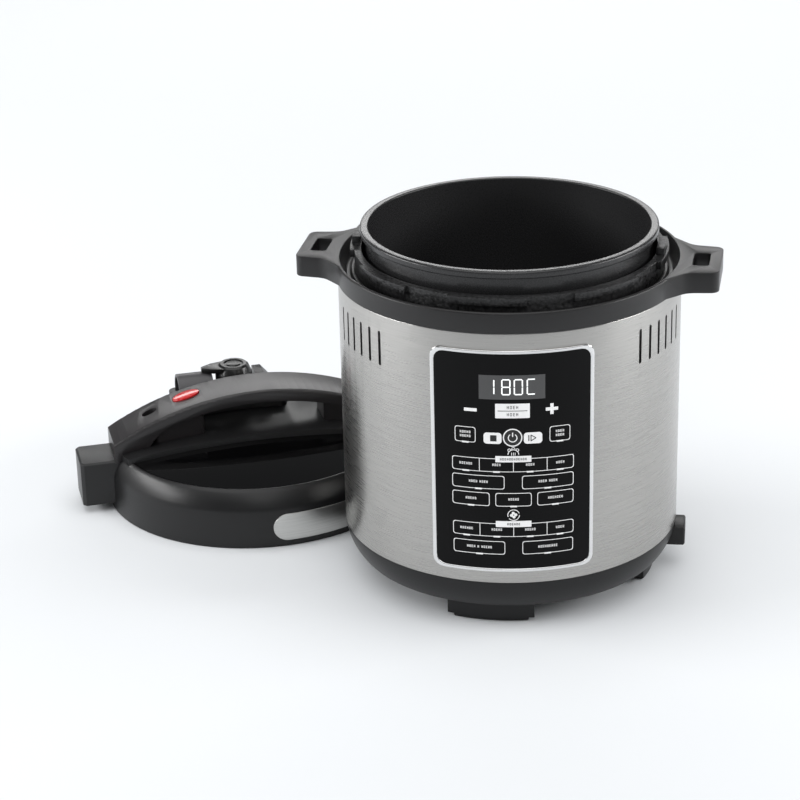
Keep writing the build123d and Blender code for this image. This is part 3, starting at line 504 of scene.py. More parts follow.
def eased(profile: Sequence[tuple[float, float, float]], steps: int = 5) -> list[Point2]:
    """Rounds the corners of a closed profile.

    Args:
        profile: corners as (radius, height, corner radius), in millimetres.
        steps: points on each rounded corner.

    Returns:
        The profile's points, in millimetres.
    """
    done: list[Point2] = []
    count = len(profile)
    for i, (x, z, corner) in enumerate(profile):
        here = Vector((x, z))
        before = Vector(profile[i - 1][:2]) - here
        after = Vector(profile[(i + 1) % count][:2]) - here
        if corner <= 0:
            done.append((x, z))
            continue
        angle = before.angle(after)
        reach = min(corner / math.tan(angle / 2), before.length * 0.49, after.length * 0.49)
        start = here + before.normalized() * reach
        end = here + after.normalized() * reach
        for k in range(steps + 1):
            t = k / steps
            spot = start * (1 - t) ** 2 + here * 2 * t * (1 - t) + end * t**2
            done.append((spot.x, spot.y))
    return done


def lathe(name: str, profile: Sequence[Point2], centre: Vector, turns: int = 224) -> bpy.types.Object:
    """Turns a closed profile about an upright axis.

    Args:
        name: the piece's name.
        profile: closed outline as (radius, height), in millimetres.
        centre: where the axis stands, in metres.
        turns: number of steps round the axis.

    Returns:
        The turned piece.
    """
    points: list[Point3] = []
    faces: list[tuple[int, ...]] = []
    count = len(profile)
    for k in range(turns):
        a = 2 * math.pi * k / turns
        for radius, height in profile:
            x = centre.x + radius * MM * math.cos(a)
            y = centre.y + radius * MM * math.sin(a)
            points.append((x, y, height * MM))
    for k in range(turns):
        near, far = k * count, ((k + 1) % turns) * count
        for i in range(count):
            j = (i + 1) % count
            faces.append((near + i, far + i, far + j, near + j))
    made = mesh_object(name, points, faces)
    work = bmesh.new()
    work.from_mesh(made.data)
    bmesh.ops.remove_doubles(work, verts=work.verts, dist=1e-7)
    bmesh.ops.dissolve_degenerate(work, edges=work.edges, dist=1e-8)
    bmesh.ops.recalc_face_normals(work, faces=work.faces)
    work.to_mesh(made.data)
    work.free()
    return shade(made)


def refined(
    node: str, name: str, width: float, segments: int = 3, angle: float = 28.0, flatten: float = 0.8
) -> bpy.types.Object:
    """Copies a CAD node's mesh and eases its edges.

    Args:
        node: the CAD node copied.
        name: the new piece's name.
        width: width of the eased edge, in millimetres.
        segments: steps across it.
        angle: edges sharper than this many degrees are eased.
        flatten: faces within this many degrees of one plane are joined, and none are at 0. Joined faces
            and eased edges together leave jagged patches in a glossy curved piece's reflections.

    Returns:
        The copy, with its edges eased.
    """
    made = bpy.data.objects.new(name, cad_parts[node].data.copy())
    made.data.materials.clear()
    bpy.context.scene.collection.objects.link(made)
    work = bmesh.new()
    work.from_mesh(made.data)
    bmesh.ops.remove_doubles(work, verts=work.verts, dist=2e-6)
    if flatten > 0:
        bmesh.ops.dissolve_limit(work, angle_limit=math.radians(flatten), verts=work.verts, edges=work.edges)
    work.to_mesh(made.data)
    work.free()
    if width > 0:
        bevel = made.modifiers.new("eased edges", "BEVEL")
        bevel.width = width * MM
        bevel.segments = segments
        bevel.limit_method = "ANGLE"
        bevel.angle_limit = math.radians(angle)
        bevel.use_clamp_overlap = True
        bevel.miter_outer = "MITER_ARC"
        baked(made)
    return shade(made)


# ------------------------------------------------------------------------------------------------
# Geometry Nodes
# ------------------------------------------------------------------------------------------------


class Tree:
    """A Geometry Nodes tree under construction, with named inputs."""

    def __init__(self, name: str, sizes: dict[str, float], takes_mesh: bool = False) -> None:
        """Starts a tree.

        Args:
            name: the tree's name.
            sizes: named number inputs and their defaults, in metres or degrees.
            takes_mesh: whether the tree reads the object's own mesh.
        """
        self.group = bpy.data.node_groups.new(name, "GeometryNodeTree")
        self.sockets: dict[str, str] = {}
        interface = self.group.interface
        if takes_mesh:
            interface.new_socket("Geometry", in_out="INPUT", socket_type="NodeSocketGeometry")
        for label, value in sizes.items():
            socket = interface.new_socket(label, in_out="INPUT", socket_type="NodeSocketFloat")
            socket.default_value = value
            self.sockets[label] = socket.identifier
        interface.new_socket("Geometry", in_out="OUTPUT", socket_type="NodeSocketGeometry")
        self.entry = self.group.nodes.new("NodeGroupInput")
        self.exit = self.group.nodes.new("NodeGroupOutput")

    def node(self, kind: str, *inputs: object, **settings: object) -> bpy.types.Node:
        """Adds a node.

        Args:
            kind: Blender's node type.
            inputs: values or sockets for its first inputs, None to leave one alone.
            settings: node settings by name.

        Returns:
            The node.
        """
        made = self.group.nodes.new(kind)
        for key, value in settings.items():
            setattr(made, key, value)
        for socket, value in zip(made.inputs, inputs):
            if value is None:
                continue
            if isinstance(value, bpy.types.NodeSocket):
                self.group.links.new(value, socket)
            else:
                socket.default_value = value
        return made

    def math(self, operation: str, *values: object) -> bpy.types.NodeSocket:
        """Adds a math node and gives its value socket."""
        return self.node("ShaderNodeMath", *values, operation=operation).outputs[0]

    def size(self, label: str) -> bpy.types.NodeSocket:
        """Gives the named input's socket."""
        return self.entry.outputs[label]

    def vector(self, x: object, y: object, z: object) -> bpy.types.NodeSocket:
        """Joins three values into a vector socket."""
        return self.node("ShaderNodeCombineXYZ", x, y, z).outputs[0]

    def close(self, shape: bpy.types.NodeSocket, finish: Finish) -> "Tree":
        """Ends the tree in Realize Instances and Set Material.

        Args:
            shape: the geometry to hand over.
            finish: the finish it is given.

        Returns:
            The tree itself.
        """
        solid = self.node("GeometryNodeRealizeInstances", shape)
        dressed = self.node("GeometryNodeSetMaterial", solid.outputs[0])
        dressed.inputs["Material"].default_value = finish.material()
        self.group.links.new(dressed.outputs[0], self.exit.inputs[0])
        return self

    def grow(
        self, name: str, points: Sequence[Sequence[float]] = ((0, 0, 0),), **sizes: float
    ) -> bpy.types.Object:
        """Runs the tree once and gives its result as a plain mesh.

        Args:
            name: the piece's name.
            points: the points that the tree reads, in metres.
            sizes: values for the named inputs, with _ for spaces.

        Returns:
            The finished object.
        """
        made = mesh_object(name, points, ())
        modifier = made.modifiers.new("grown", "NODES")
        modifier.node_group = self.group
        for label, value in sizes.items():
            modifier[self.sockets[label.replace("_", " ")]] = value
        return baked(made)


def vent_cutter_tree() -> Tree:
    """Makes a row of upright round-ended slots on a cylinder, as solids to cut with.

    Returns:
        A tree with inputs for count, first angle, step, radius, height, width, depth and level.
    """
    tree = Tree(
        "vent cutters",
        {"Count": 6, "First": 47.0, "Step": 5.15, "Radius": 0.14, "Height": 0.029, "Width": 0.003,
         "Depth": 0.01, "Level": 0.23},
    )
    line = tree.node("GeometryNodeMeshLine", tree.size("Count"))
    index = tree.node("GeometryNodeInputIndex").outputs[0]
    degrees = tree.math("MULTIPLY_ADD", index, tree.size("Step"), tree.size("First"))
    turn = tree.math("RADIANS", degrees)
    x = tree.math("MULTIPLY", tree.math("SINE", turn), tree.size("Radius"))
    y = tree.math("MULTIPLY", tree.math("COSINE", turn), tree.math("MULTIPLY", tree.size("Radius"), -1.0))
    spots = tree.node("GeometryNodeSetPosition", line.outputs[0], None, tree.vector(x, y, tree.size("Level")))
    straight = tree.math("SUBTRACT", tree.size("Height"), tree.size("Width"))
    bar = tree.node("GeometryNodeMeshCube", tree.vector(tree.size("Width"), tree.size("Depth"), straight))
    half = tree.math("MULTIPLY", tree.size("Width"), 0.5)
    round_end = tree.node("GeometryNodeMeshCylinder", 24, 1, 1, half, tree.size("Depth"))
    ends = []
    for sign in (0.5, -0.5):
        moved = tree.node("GeometryNodeTransform", round_end.outputs[0])
        shift = tree.vector(0.0, 0.0, tree.math("MULTIPLY", straight, sign))
        tree.group.links.new(shift, moved.inputs["Translation"])
        moved.inputs["Rotation"].default_value = (math.pi / 2, 0.0, 0.0)
        ends.append(moved.outputs[0])
    cutter = tree.node("GeometryNodeMeshBoolean", operation="UNION")
    for shape in (bar.outputs[0], *ends):
        tree.group.links.new(shape, cutter.inputs["Mesh 2"])
    copies = tree.node("GeometryNodeInstanceOnPoints", spots.outputs[0])
    tree.group.links.new(cutter.outputs[0], copies.inputs["Instance"])
    tree.group.links.new(tree.vector(0.0, 0.0, turn), copies.inputs["Rotation"])
    return tree.close(copies.outputs[0], Finishes.SHELL)


def screw_tree() -> Tree:
    """Makes a pan-head screw with a cross recess on every point of the object.

    Returns:
        A tree with inputs for the head and shank sizes and for the side the head faces.
    """
    tree = Tree(
        "pan head screws",
        {"Head radius": 0.003, "Head height": 0.0018, "Shank radius": 0.00125, "Shank length": 0.006,
         "Facing": 1.0},
        takes_mesh=True,
    )
    head = tree.node("GeometryNodeMeshCylinder", 28, 1, 1, tree.size("Head radius"), tree.size("Head height"))
    lifted = tree.node("GeometryNodeTransform", head.outputs[0])
    half = tree.math("MULTIPLY", tree.size("Head height"), 0.5)
    tree.group.links.new(tree.vector(0.0, 0.0, half), lifted.inputs["Translation"])
    slots = []
    arm = tree.math("MULTIPLY", tree.size("Head radius"), 1.15)
    slit = tree.math("MULTIPLY", tree.size("Head radius"), 0.26)
    deep = tree.math("MULTIPLY", tree.size("Head height"), 1.1)
    for turn in (0.0, math.pi / 2):
        bar = tree.node("GeometryNodeMeshCube", tree.vector(arm, slit, deep))
        placed = tree.node("GeometryNodeTransform", bar.outputs[0])
        tree.group.links.new(tree.vector(0.0, 0.0, tree.size("Head height")), placed.inputs["Translation"])
        placed.inputs["Rotation"].default_value = (0.0, 0.0, turn)
        slots.append(placed.outputs[0])
    crossed = tree.node("GeometryNodeMeshBoolean", lifted.outputs[0], operation="DIFFERENCE")
    for shape in slots:
        tree.group.links.new(shape, crossed.inputs["Mesh 2"])
    shank = tree.node(
        "GeometryNodeMeshCylinder", 20, 1, 1, tree.size("Shank radius"), tree.size("Shank length")
    )
    sunk = tree.node("GeometryNodeTransform", shank.outputs[0])
    below = tree.math("MULTIPLY", tree.size("Shank length"), -0.5)
    tree.group.links.new(tree.vector(0.0, 0.0, below), sunk.inputs["Translation"])
    screw = tree.node("GeometryNodeJoinGeometry")
    for shape in (crossed.outputs[0], sunk.outputs[0]):
        tree.group.links.new(shape, screw.inputs[0])
    copies = tree.node("GeometryNodeInstanceOnPoints", tree.entry.outputs["Geometry"])
    tree.group.links.new(screw.outputs[0], copies.inputs["Instance"])
    flip = tree.math("MULTIPLY", tree.math("SUBTRACT", 1.0, tree.size("Facing")), math.pi / 2)
    tree.group.links.new(tree.vector(flip, 0.0, 0.0), copies.inputs["Rotation"])
    return tree.close(copies.outputs[0], Finishes.FASTENER)


def spring_tree() -> Tree:
    """Makes a round-wire compression spring that stands on +Z.

    Returns:
        A tree with inputs for the foot's place, height, turns, mean radius and wire radius.
    """
    tree = Tree(
        "coil spring",
        {"X": 0.0, "Y": 0.0, "Z": 0.0, "Height": 0.02, "Turns": 5.0, "Mean radius": 0.008,
         "Wire radius": 0.0008},
    )
    path = tree.node("GeometryNodeCurveSpiral", 32)
    for label, socket in (("Turns", "Rotations"), ("Height", "Height"), ("Mean radius", "Start Radius"),
                          ("Mean radius", "End Radius")):
        tree.group.links.new(tree.size(label), path.inputs[socket])
    wire = tree.node("GeometryNodeCurvePrimitiveCircle", 10)
    tree.group.links.new(tree.size("Wire radius"), wire.inputs["Radius"])
    tube = tree.node("GeometryNodeCurveToMesh", path.outputs[0], wire.outputs[0])
    tube.inputs["Fill Caps"].default_value = True
    placed = tree.node("GeometryNodeTransform", tube.outputs[0])
    place = tree.vector(tree.size("X"), tree.size("Y"), tree.size("Z"))
    tree.group.links.new(place, placed.inputs["Translation"])
    return tree.close(placed.outputs[0], Finishes.SPRING)


def blade_tree() -> Tree:
    """Makes a ring of pitched fan blades about an upright axis.

    Returns:
        A tree with inputs for count, root radius, length, chord, thickness, pitch and centre.
    """
    tree = Tree(
        "fan blades",
        {"Count": 7, "Middle radius": 0.024, "Length": 0.0235, "Chord": 0.018, "Thickness": 0.0014,
         "Pitch": 38.0, "X": 0.0, "Y": 0.0, "Z": 0.0},
    )
    line = tree.node("GeometryNodeMeshLine", tree.size("Count"))
    index = tree.node("GeometryNodeInputIndex").outputs[0]
    step = tree.math("DIVIDE", 2 * math.pi, tree.size("Count"))
    turn = tree.math("MULTIPLY", index, step)
    x = tree.math("MULTIPLY_ADD", tree.math("COSINE", turn), tree.size("Middle radius"), tree.size("X"))
    y = tree.math("MULTIPLY_ADD", tree.math("SINE", turn), tree.size("Middle radius"), tree.size("Y"))
    spots = tree.node("GeometryNodeSetPosition", line.outputs[0], None, tree.vector(x, y, tree.size("Z")))
    plate = tree.node(
        "GeometryNodeMeshCube",
        tree.vector(tree.size("Length"), tree.size("Chord"), tree.size("Thickness")),
        6,
        4,
        2,
    )
    pitched = tree.node("GeometryNodeTransform", plate.outputs[0])
    lean = tree.math("RADIANS", tree.size("Pitch"))
    tree.group.links.new(tree.vector(lean, 0.0, 0.0), pitched.inputs["Rotation"])
    copies = tree.node("GeometryNodeInstanceOnPoints", spots.outputs[0])
    tree.group.links.new(pitched.outputs[0], copies.inputs["Instance"])
    tree.group.links.new(tree.vector(0.0, 0.0, turn), copies.inputs["Rotation"])
    return tree.close(copies.outputs[0], Finishes.FAN)


def lamp_tree() -> Tree:
    """Makes a small indicator bar on every point, wrapped on the panel's curve.

    Returns:
        A tree with inputs for the bar's size and the curve's radius and centre.
    """
    tree = Tree(
        "key lamps",
        {"Width": 0.005, "Height": 0.0012, "Depth": 0.00012, "Radius": 0.1413, "X": 0.0, "Y": 0.0},
        takes_mesh=True,
    )
    bar = tree.node(
        "GeometryNodeMeshCube",
        tree.vector(tree.size("Width"), tree.size("Depth"), tree.size("Height")),
        4,
        2,
        2,
    )
    copies = tree.node("GeometryNodeInstanceOnPoints", tree.entry.outputs["Geometry"])
    tree.group.links.new(bar.outputs[0], copies.inputs["Instance"])
    solid = tree.node("GeometryNodeRealizeInstances", copies.outputs[0])
    place = tree.node("ShaderNodeSeparateXYZ", tree.node("GeometryNodeInputPosition").outputs[0])
    reach = tree.math("SUBTRACT", tree.size("Radius"), place.outputs["Y"])
    square = tree.math("SUBTRACT", tree.math("MULTIPLY", reach, reach),
                       tree.math("MULTIPLY", place.outputs["X"], place.outputs["X"]))
    forward = tree.math("MULTIPLY", tree.math("SQRT", square), -1.0)
    wrapped = tree.node(
        "GeometryNodeSetPosition", solid.outputs[0], None,
        tree.vector(tree.math("ADD", place.outputs["X"], tree.size("X")),
                    tree.math("ADD", forward, tree.size("Y")), place.outputs["Z"]),
    )
    return tree.close(wrapped.outputs[0], Finishes.INK)


# ------------------------------------------------------------------------------------------------
# Panel printing
# ------------------------------------------------------------------------------------------------


class Ink:
    """Flat printed shapes, gathered in millimetres across and up, then laid on the panel's curve."""

    COLUMN = 2.0

    def __init__(self) -> None:
        """Starts with nothing printed."""
        self.points: list[Point2] = []
        self.faces: list[tuple[int, ...]] = []

    def polygon(self, corners: Sequence[Point2]) -> None:
        """Prints one small flat polygon."""
        first = len(self.points)
        self.points.extend(corners)
        self.faces.append(tuple(range(first, first + len(corners))))

    def band(self, outer: Sequence[Point2], inner: Sequence[Point2], closed: bool = True) -> None:
        """Prints the band between two lines with the same number of points.

        Args:
            outer: the outer line.
            inner: the inner line.
            closed: whether the last points join the first.
        """
        count = len(outer)
        for i in range(count if closed else count - 1):
            j = (i + 1) % count
            self.polygon([outer[i], outer[j], inner[j], inner[i]])

    def _loop(self, x: float, z: float, width: float, height: float, corner: float) -> list[Point2]:
        """Gives a rounded rectangle's outline with points close enough to wrap."""
        corner = min(corner, width / 2, height / 2)
        done: list[Point2] = []
        spans = ((1, 1, 0), (-1, 1, 90), (-1, -1, 180), (1, -1, 270))
        across = max(1, int((width - 2 * corner) / self.COLUMN))
        for k, (sx, sz, start) in enumerate(spans):
            cx, cz = x + sx * (width / 2 - corner), z + sz * (height / 2 - corner)
            for step in range(5):
                a = math.radians(start + 22.5 * step)
                done.append((cx + corner * math.cos(a), cz + corner * math.sin(a)))
            if k in (0, 2):
                length = (width - 2 * corner) * (-1 if k == 0 else 1)
                last = done[-1]
                for step in range(1, across):
                    done.append((last[0] + length * step / across, last[1]))
        return done

    def frame(self, x: float, z: float, width: float, height: float, corner: float, line: float) -> None:
        """Prints a rounded rectangle's outline.

        Args:
            x: middle, across.
            z: middle, up.
            width: outer width.
            height: outer height.
            corner: outer corner radius.
            line: line weight.
        """
        outer = self._loop(x, z, width, height, corner)
        scale_x = (width - 2 * line) / width
        scale_z = (height - 2 * line) / height
        inner = [(x + (px - x) * scale_x, z + (pz - z) * scale_z) for px, pz in outer]
        self.band(outer, inner)

    def fill(self, x: float, z: float, width: float, height: float, corner: float = 0.0) -> None:
        """Prints a filled rounded rectangle in upright columns.

        Args:
            x: middle, across.
            z: middle, up.
            width: full width.
            height: full height.
            corner: corner radius.
        """
        corner = min(corner, height / 2, width / 2)
        stops = [-width / 2]
        if corner:
            stops = [-width / 2 + corner * (1 - math.cos(math.radians(15 * k))) for k in range(7)]
        inside = width - 2 * corner
        count = max(1, int(inside / self.COLUMN))
        stops += [-width / 2 + corner + inside * k / count for k in range(1, count)]
        stops += [-s for s in reversed(stops[: 7 if corner else 1])]
        stops = sorted(set(round(s, 5) for s in stops))

        def tall(offset: float) -> float:
            """Gives the half height at an offset from the middle."""
            into = abs(offset) - (width / 2 - corner)
            if into <= 0 or corner == 0:
                return height / 2
            return height / 2 - corner + math.sqrt(max(0.0, corner**2 - into**2))

        for left, right in zip(stops, stops[1:]):
            a, b = tall(left), tall(right)
            self.polygon([(x + left, z - a), (x + right, z - b), (x + right, z + b), (x + left, z + a)])

    def ring(
        self, x: float, z: float, inner: float, outer: float, start: float = 0.0, end: float = 360.0
    ) -> None:
        """Prints a ring or an arc of one.

        Args:
            x: middle, across.
            z: middle, up.
            inner: inner radius.
            outer: outer radius.
            start: first angle, in degrees.
            end: last angle, in degrees.
        """
        steps = max(8, int((end - start) / 10))
        turns = [math.radians(start + (end - start) * k / steps) for k in range(steps + 1)]
        far = [(x + outer * math.cos(a), z + outer * math.sin(a)) for a in turns]
        near = [(x + inner * math.cos(a), z + inner * math.sin(a)) for a in turns]
        self.band(far, near, closed=False)

    def stroke(self, start: Point2, end: Point2, width: float) -> None:
        """Prints a straight stroke of a given width between two points."""
        run = Vector(end) - Vector(start)
        side = Vector((-run.y, run.x)).normalized() * width / 2
        steps = max(1, int(run.length / self.COLUMN))
        for k in range(steps):
            a = Vector(start) + run * k / steps
            b = Vector(start) + run * (k + 1) / steps
            self.polygon([tuple(a - side), tuple(b - side), tuple(b + side), tuple(a + side)])

    def lay(self, name: str, radius: float, thick: float = 0.06) -> bpy.types.Object:
        """Lays the shapes on an upright cylinder and gives them a thin body.

        Args:
            name: the piece's name.
            radius: the cylinder's radius, in millimetres.
            thick: the print's thickness, in millimetres.

        Returns:
            The printed piece.
        """
        turn = Matrix.Rotation(PANEL_TURN, 3, "Z")
        placed = []
        for x, z in self.points:
            flat = Vector((x, -math.sqrt(radius**2 - x**2), z)) * MM
            placed.append(COOKER + turn @ flat)
        made = mesh_object(name, placed, self.faces)
        work = bmesh.new()
        work.from_mesh(made.data)
        bmesh.ops.remove_doubles(work, verts=work.verts, dist=2e-6)
        bmesh.ops.dissolve_degenerate(work, edges=work.edges, dist=1e-7)
        for face in work.faces:
            face.normal_update()
            outward = face.calc_center_median() - COOKER
            outward.z = 0.0
            if face.normal.dot(outward) < 0:
                face.normal_flip()
        work.to_mesh(made.data)
        work.free()
        solid = made.modifiers.new("body", "SOLIDIFY")
        solid.thickness = thick * MM
        solid.offset = 1.0
        return baked(made)


# ------------------------------------------------------------------------------------------------
# Cooker body
# ------------------------------------------------------------------------------------------------


def around(centre: Vector, turn: float, x: float, y: float, z: float) -> Point3:
    """Gives a point placed in a turned group, in metres.

    Args:
        centre: the group's axis.
        turn: the group's turn, in radians.
        x: millimetres along the group's own X.
        y: millimetres along its own Y.
        z: height, in millimetres.

    Returns:
        The point in the row frame.
    """
    spot = Matrix.Rotation(turn, 3, "Z") @ Vector((x, y, z)) * MM + centre
    return tuple(spot)


def grid_points(
    centre: Vector, turn: float, middle_at: Point2, pitch: Point2, z: float
) -> list[Point3]:
    """Gives the four corners of a fixing pattern.

    Args:
        centre: the group's axis.
        turn: the group's turn, in radians.
        middle_at: the pattern's middle, in millimetres.
        pitch: its spacing along X and Y, in millimetres.
        z: height, in millimetres.

    Returns:
        Four points in the row frame.
    """
    x, y = middle_at
    corners = ((-1, -1), (1, -1), (1, 1), (-1, 1))
    return [around(centre, turn, x + sx * pitch[0] / 2, y + sy * pitch[1] / 2, z) for sx, sy in corners]


@dataclass
class Housing:
    """The steel shell with its vents, the plastic rings above and below it, feet and mains inlet."""

    radius: float = 140.0
    sheet: float = 0.8
    low: float = 45.0
    high: float = 258.6
    lip: float = 133.0
    vents: int = 6
    vent_first: float = 47.0
    vent_step: float = 5.15
    vent_height: float = 29.0
    vent_width: float = 3.0
    vent_level: float = 230.0
    panel_opening: Point2 = (110.5, 173.5)
    panel_middle: float = 150.45

    def build(self) -> None:
        """Builds every piece of the housing."""
        self._shell()
        self._plastics()

    def _shell(self) -> None:
        """Turns the shell, cuts its vents and panel opening, and dresses it."""
        r, t = self.radius, self.sheet
        profile = eased(
            [
                (self.lip, self.low, 0),
                (r, self.low, 0.7),
                (r, self.high, 0.9),
                (self.lip + 1, self.high, 0),
                (self.lip + 1, self.high - t, 0),
                (r - t, self.high - t, 0.4),
                (r - t, self.low + t, 0.4),
                (self.lip, self.low + t, 0),
            ]
        )
        shell = lathe("housing_skin", profile, COOKER, turns=360)
        cutters = []
        tree = vent_cutter_tree()
        for side in (-1, 1):
            cutter = tree.grow(
                f"vent_cutter_{side}", Count=self.vents, First=side * self.vent_first,
                Step=side * self.vent_step, Radius=r * MM, Height=self.vent_height * MM,
                Width=self.vent_width * MM, Depth=6 * MM, Level=self.vent_level * MM,
            )
            cutter.data.transform(Matrix.Translation(COOKER))
            cutters.append(cutter)
        cutters.append(self._opening_cutter())
        for cutter in cutters:
            cut = shell.modifiers.new("cut", "BOOLEAN")
            cut.operation = "DIFFERENCE"
            cut.solver = "EXACT"
            cut.object = cutter
        baked(shell)
        for cutter in cutters:
            bpy.data.objects.remove(cutter)
        fit(shade(shell, 30), "base", Finishes.SHELL, ["housing_shell"])

    def _opening_cutter(self) -> bpy.types.Object:
        """Makes the block that opens the shell behind the control panel."""
        width, height = self.panel_opening
        made = mesh_object("opening_cutter", *block_mesh((width, 40, height)))
        place = Matrix.Translation(COOKER) @ Matrix.Rotation(PANEL_TURN, 4, "Z")
        made.data.transform(place @ Matrix.Translation((0, -0.130, self.panel_middle * MM)))
        return made

    def _plastics(self) -> None:
        """Eases and dresses the moulded parts."""
        fit(refined("top_ring", "top_ring_moulding", 0.9), "base", Finishes.BODY,
            ["top_ring"])
        fit(refined("base_pan", "base_pan_moulding", 0.8), "base", Finishes.PAN, ["base_pan"])
        fit(refined("rubber_feet", "foot_pads", 0.5), "base", Finishes.FOOT, ["rubber_feet"])
        fit(refined("cup_holder", "cup_holder_moulding", 0.5), "base", Finishes.PAN,
            ["cup_holder"])
        fit(refined("mains_inlet", "inlet_socket", 0.5), "base", Finishes.INLET,
            ["mains_inlet"])
        fit(refined("inlet_pins", "inlet_blades", 0.3), "base", Finishes.PIN, ["inlet_pins"])


def block_mesh(size: Point3) -> tuple[list[Point3], list[tuple[int, ...]]]:
    """Gives the points and faces of a block about the origin.

    Args:
        size: length, width and height, in millimetres.

    Returns:
        Points in metres, and faces.
    """
    x, y, z = (side * MM / 2 for side in size)
    points = [(sx * x, sy * y, sz * z) for sx in (-1, 1) for sy in (-1, 1) for sz in (-1, 1)]
    faces = [(0, 1, 3, 2), (4, 6, 7, 5), (0, 4, 5, 1), (2, 3, 7, 6), (0, 2, 6, 4), (1, 5, 7, 3)]
    return points, faces


@dataclass
class Well:
    """The cast locking flange, the liner that hangs from it, and its screws."""

    screws: int = 8
    screw_circle: float = 123.3
    screw_level: float = 257.6

    def build(self) -> None:
        """Builds every piece of the well."""
        fit(refined("locking_flange", "flange_casting", 0.9), "base", Finishes.FLANGE,
            ["locking_flange"])
        fit(refined("outer_pot", "liner", 0.25), "base", Finishes.LINER, ["outer_pot"])
        spots = []
        for k in range(self.screws):
            a = math.radians(22.5 + k * 360 / self.screws)
            r = self.screw_circle
            spots.append(around(COOKER, GRIP_TURN, r * math.cos(a), r * math.sin(a), self.screw_level))
        heads = SCREWS.grow("flange_screw_set", spots, Head_radius=0.0026, Head_height=0.0018,
                            Shank_radius=0.00145, Shank_length=0.008, Facing=-1.0)
        fit(heads, "base", Finishes.FASTENER, ["flange_screws"])


@dataclass
class InnerPot:
    """The lift-out pot with its thick rolled rim."""

    bottom: float = 142.0
    top: float = 301.8
    radius: float = 116.5
    rim: float = 121.2
    wall: float = 2.0
    floor: float = 2.5

    def build(self) -> None:
        """Turns the pot."""
        r, z0, z1 = self.radius, self.bottom, self.top
        profile = eased(
            [
                (0, z0, 0),
                (r, z0, 16),
                (r, z1 - 6, 0.8),
                (self.rim, z1 - 6, 1.6),
                (self.rim, z1, 2.2),
                (r - self.wall, z1, 1.4),
                (r - self.wall, z0 + self.floor, 14.5),
                (0, z0 + self.floor, 0),
            ],
            steps=8,
        )
        pot = lathe("cooking_pot", profile, COOKER, turns=256)
        fit(pot, "pot", Finishes.POT, ["inner_pot"])


@dataclass
class Heater:
    """Heating plate with its element, and the sprung temperature sensor in its middle."""

    spring_low: float = 104.5
    spring_high: float = 127.7
    travel: float = 3.0

    def build(self) -> None:
        """Builds every piece of the heater."""
        fit(refined("heating_plate", "heater_casting", 0.8), "base", Finishes.HEATER,
            ["heating_plate"])
        fit(refined("heating_element", "heater_coil", 0.0), "base", Finishes.TUBE,
            ["heating_element"])
        cap = eased(
            [(0, 98, 0), (4.5, 98, 0.6), (4.5, 128, 0), (13, 128, 0.6), (13, 141.7, 1.5), (0, 141.7, 0)]
        )
        fit(lathe("sensor_button", cap, COOKER, turns=72), "sensor", Finishes.SENSOR,
            ["sensor_cap"])
        fit(refined("sensor_bracket", "sensor_cage", 0.3), "base", Finishes.BRACKET,
            ["sensor_bracket"])
        fit(refined("thermal_fuse", "fuse", 0.6), "base", Finishes.FUSE, ["thermal_fuse"])
        height = self.spring_high - self.spring_low
        coil = SPRINGS.grow(
            "sensor_coil", X=COOKER.x, Y=COOKER.y, Z=(self.spring_low + 0.8) * MM, Height=(height - 1.6) * MM,
            Turns=5.0, Mean_radius=0.008, Wire_radius=0.0008,
        )
        fit(shade(coil), "base", Finishes.SPRING, ["sensor_spring"])
        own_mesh(coil)


@dataclass
class Electronics:
    """Power board and cooling fan on the floor of the base pan."""

    board_middle: Point2 = (38.0, -42.0)
    board_pitch: Point2 = (88.0, 68.0)
    board_top: float = 35.6
    fan_middle: Point2 = (-45.0, 40.0)
    fan_pitch: Point2 = (71.5, 71.5)
    fan_low: float = 26.0
    fan_deep: float = 20.0

    def build(self) -> None:
        """Builds the board, the fan and their screws."""
        fit(refined("power_board", "board", 0.0), "base", Finishes.BOARD, ["power_board"])
        fit(refined("board_parts", "board_components", 0.8), "base", Finishes.PARTS,
            ["board_parts"])
        spots = grid_points(COOKER, GRIP_TURN, self.board_middle, self.board_pitch, self.board_top)
        screws = SCREWS.grow("board_screw_set", spots, Head_radius=0.0028, Head_height=0.0018,
                             Shank_radius=0.00125, Shank_length=0.0076, Facing=1.0)
        fit(screws, "base", Finishes.FASTENER, ["board_screws"])
        fit(refined("fan_frame", "fan_housing", 0.8), "base", Finishes.FAN, ["fan_frame"])
        spots = grid_points(COOKER, GRIP_TURN, self.fan_middle, self.fan_pitch, self.fan_low + self.fan_deep)
        screws = SCREWS.grow("fan_screw_set", spots, Head_radius=0.0032, Head_height=0.002,
                             Shank_radius=0.0016, Shank_length=0.022, Facing=1.0)
        fit(screws, "base", Finishes.FASTENER, ["fan_screws"])
        self._rotor()

    def _rotor(self) -> None:
        """Builds the fan's hub and blades."""
        centre = Vector(around(COOKER, GRIP_TURN, *self.fan_middle, 0.0))
        low = self.fan_low
        hub = eased(
            [(0, low + 0.4, 0), (2, low + 0.4, 0.3), (2, low + 4, 0), (14, low + 4, 0.5), (14, low + 19, 1.6),
             (0, low + 19, 0)]
        )
        fit(lathe("fan_hub", hub, centre, turns=64), "fan", Finishes.FAN, ["fan_rotor"])
        blades = blade_tree().grow(
            "fan_blades", Count=7, Middle_radius=0.0243, Length=0.0225, Chord=0.018, Thickness=0.0014,
            Pitch=38.0, X=centre.x, Y=centre.y, Z=(low + 11.2) * MM,
        )
        fit(shade(blades), "fan", Finishes.FAN, ["fan_rotor"])


# ------------------------------------------------------------------------------------------------
# Control panel
# ------------------------------------------------------------------------------------------------


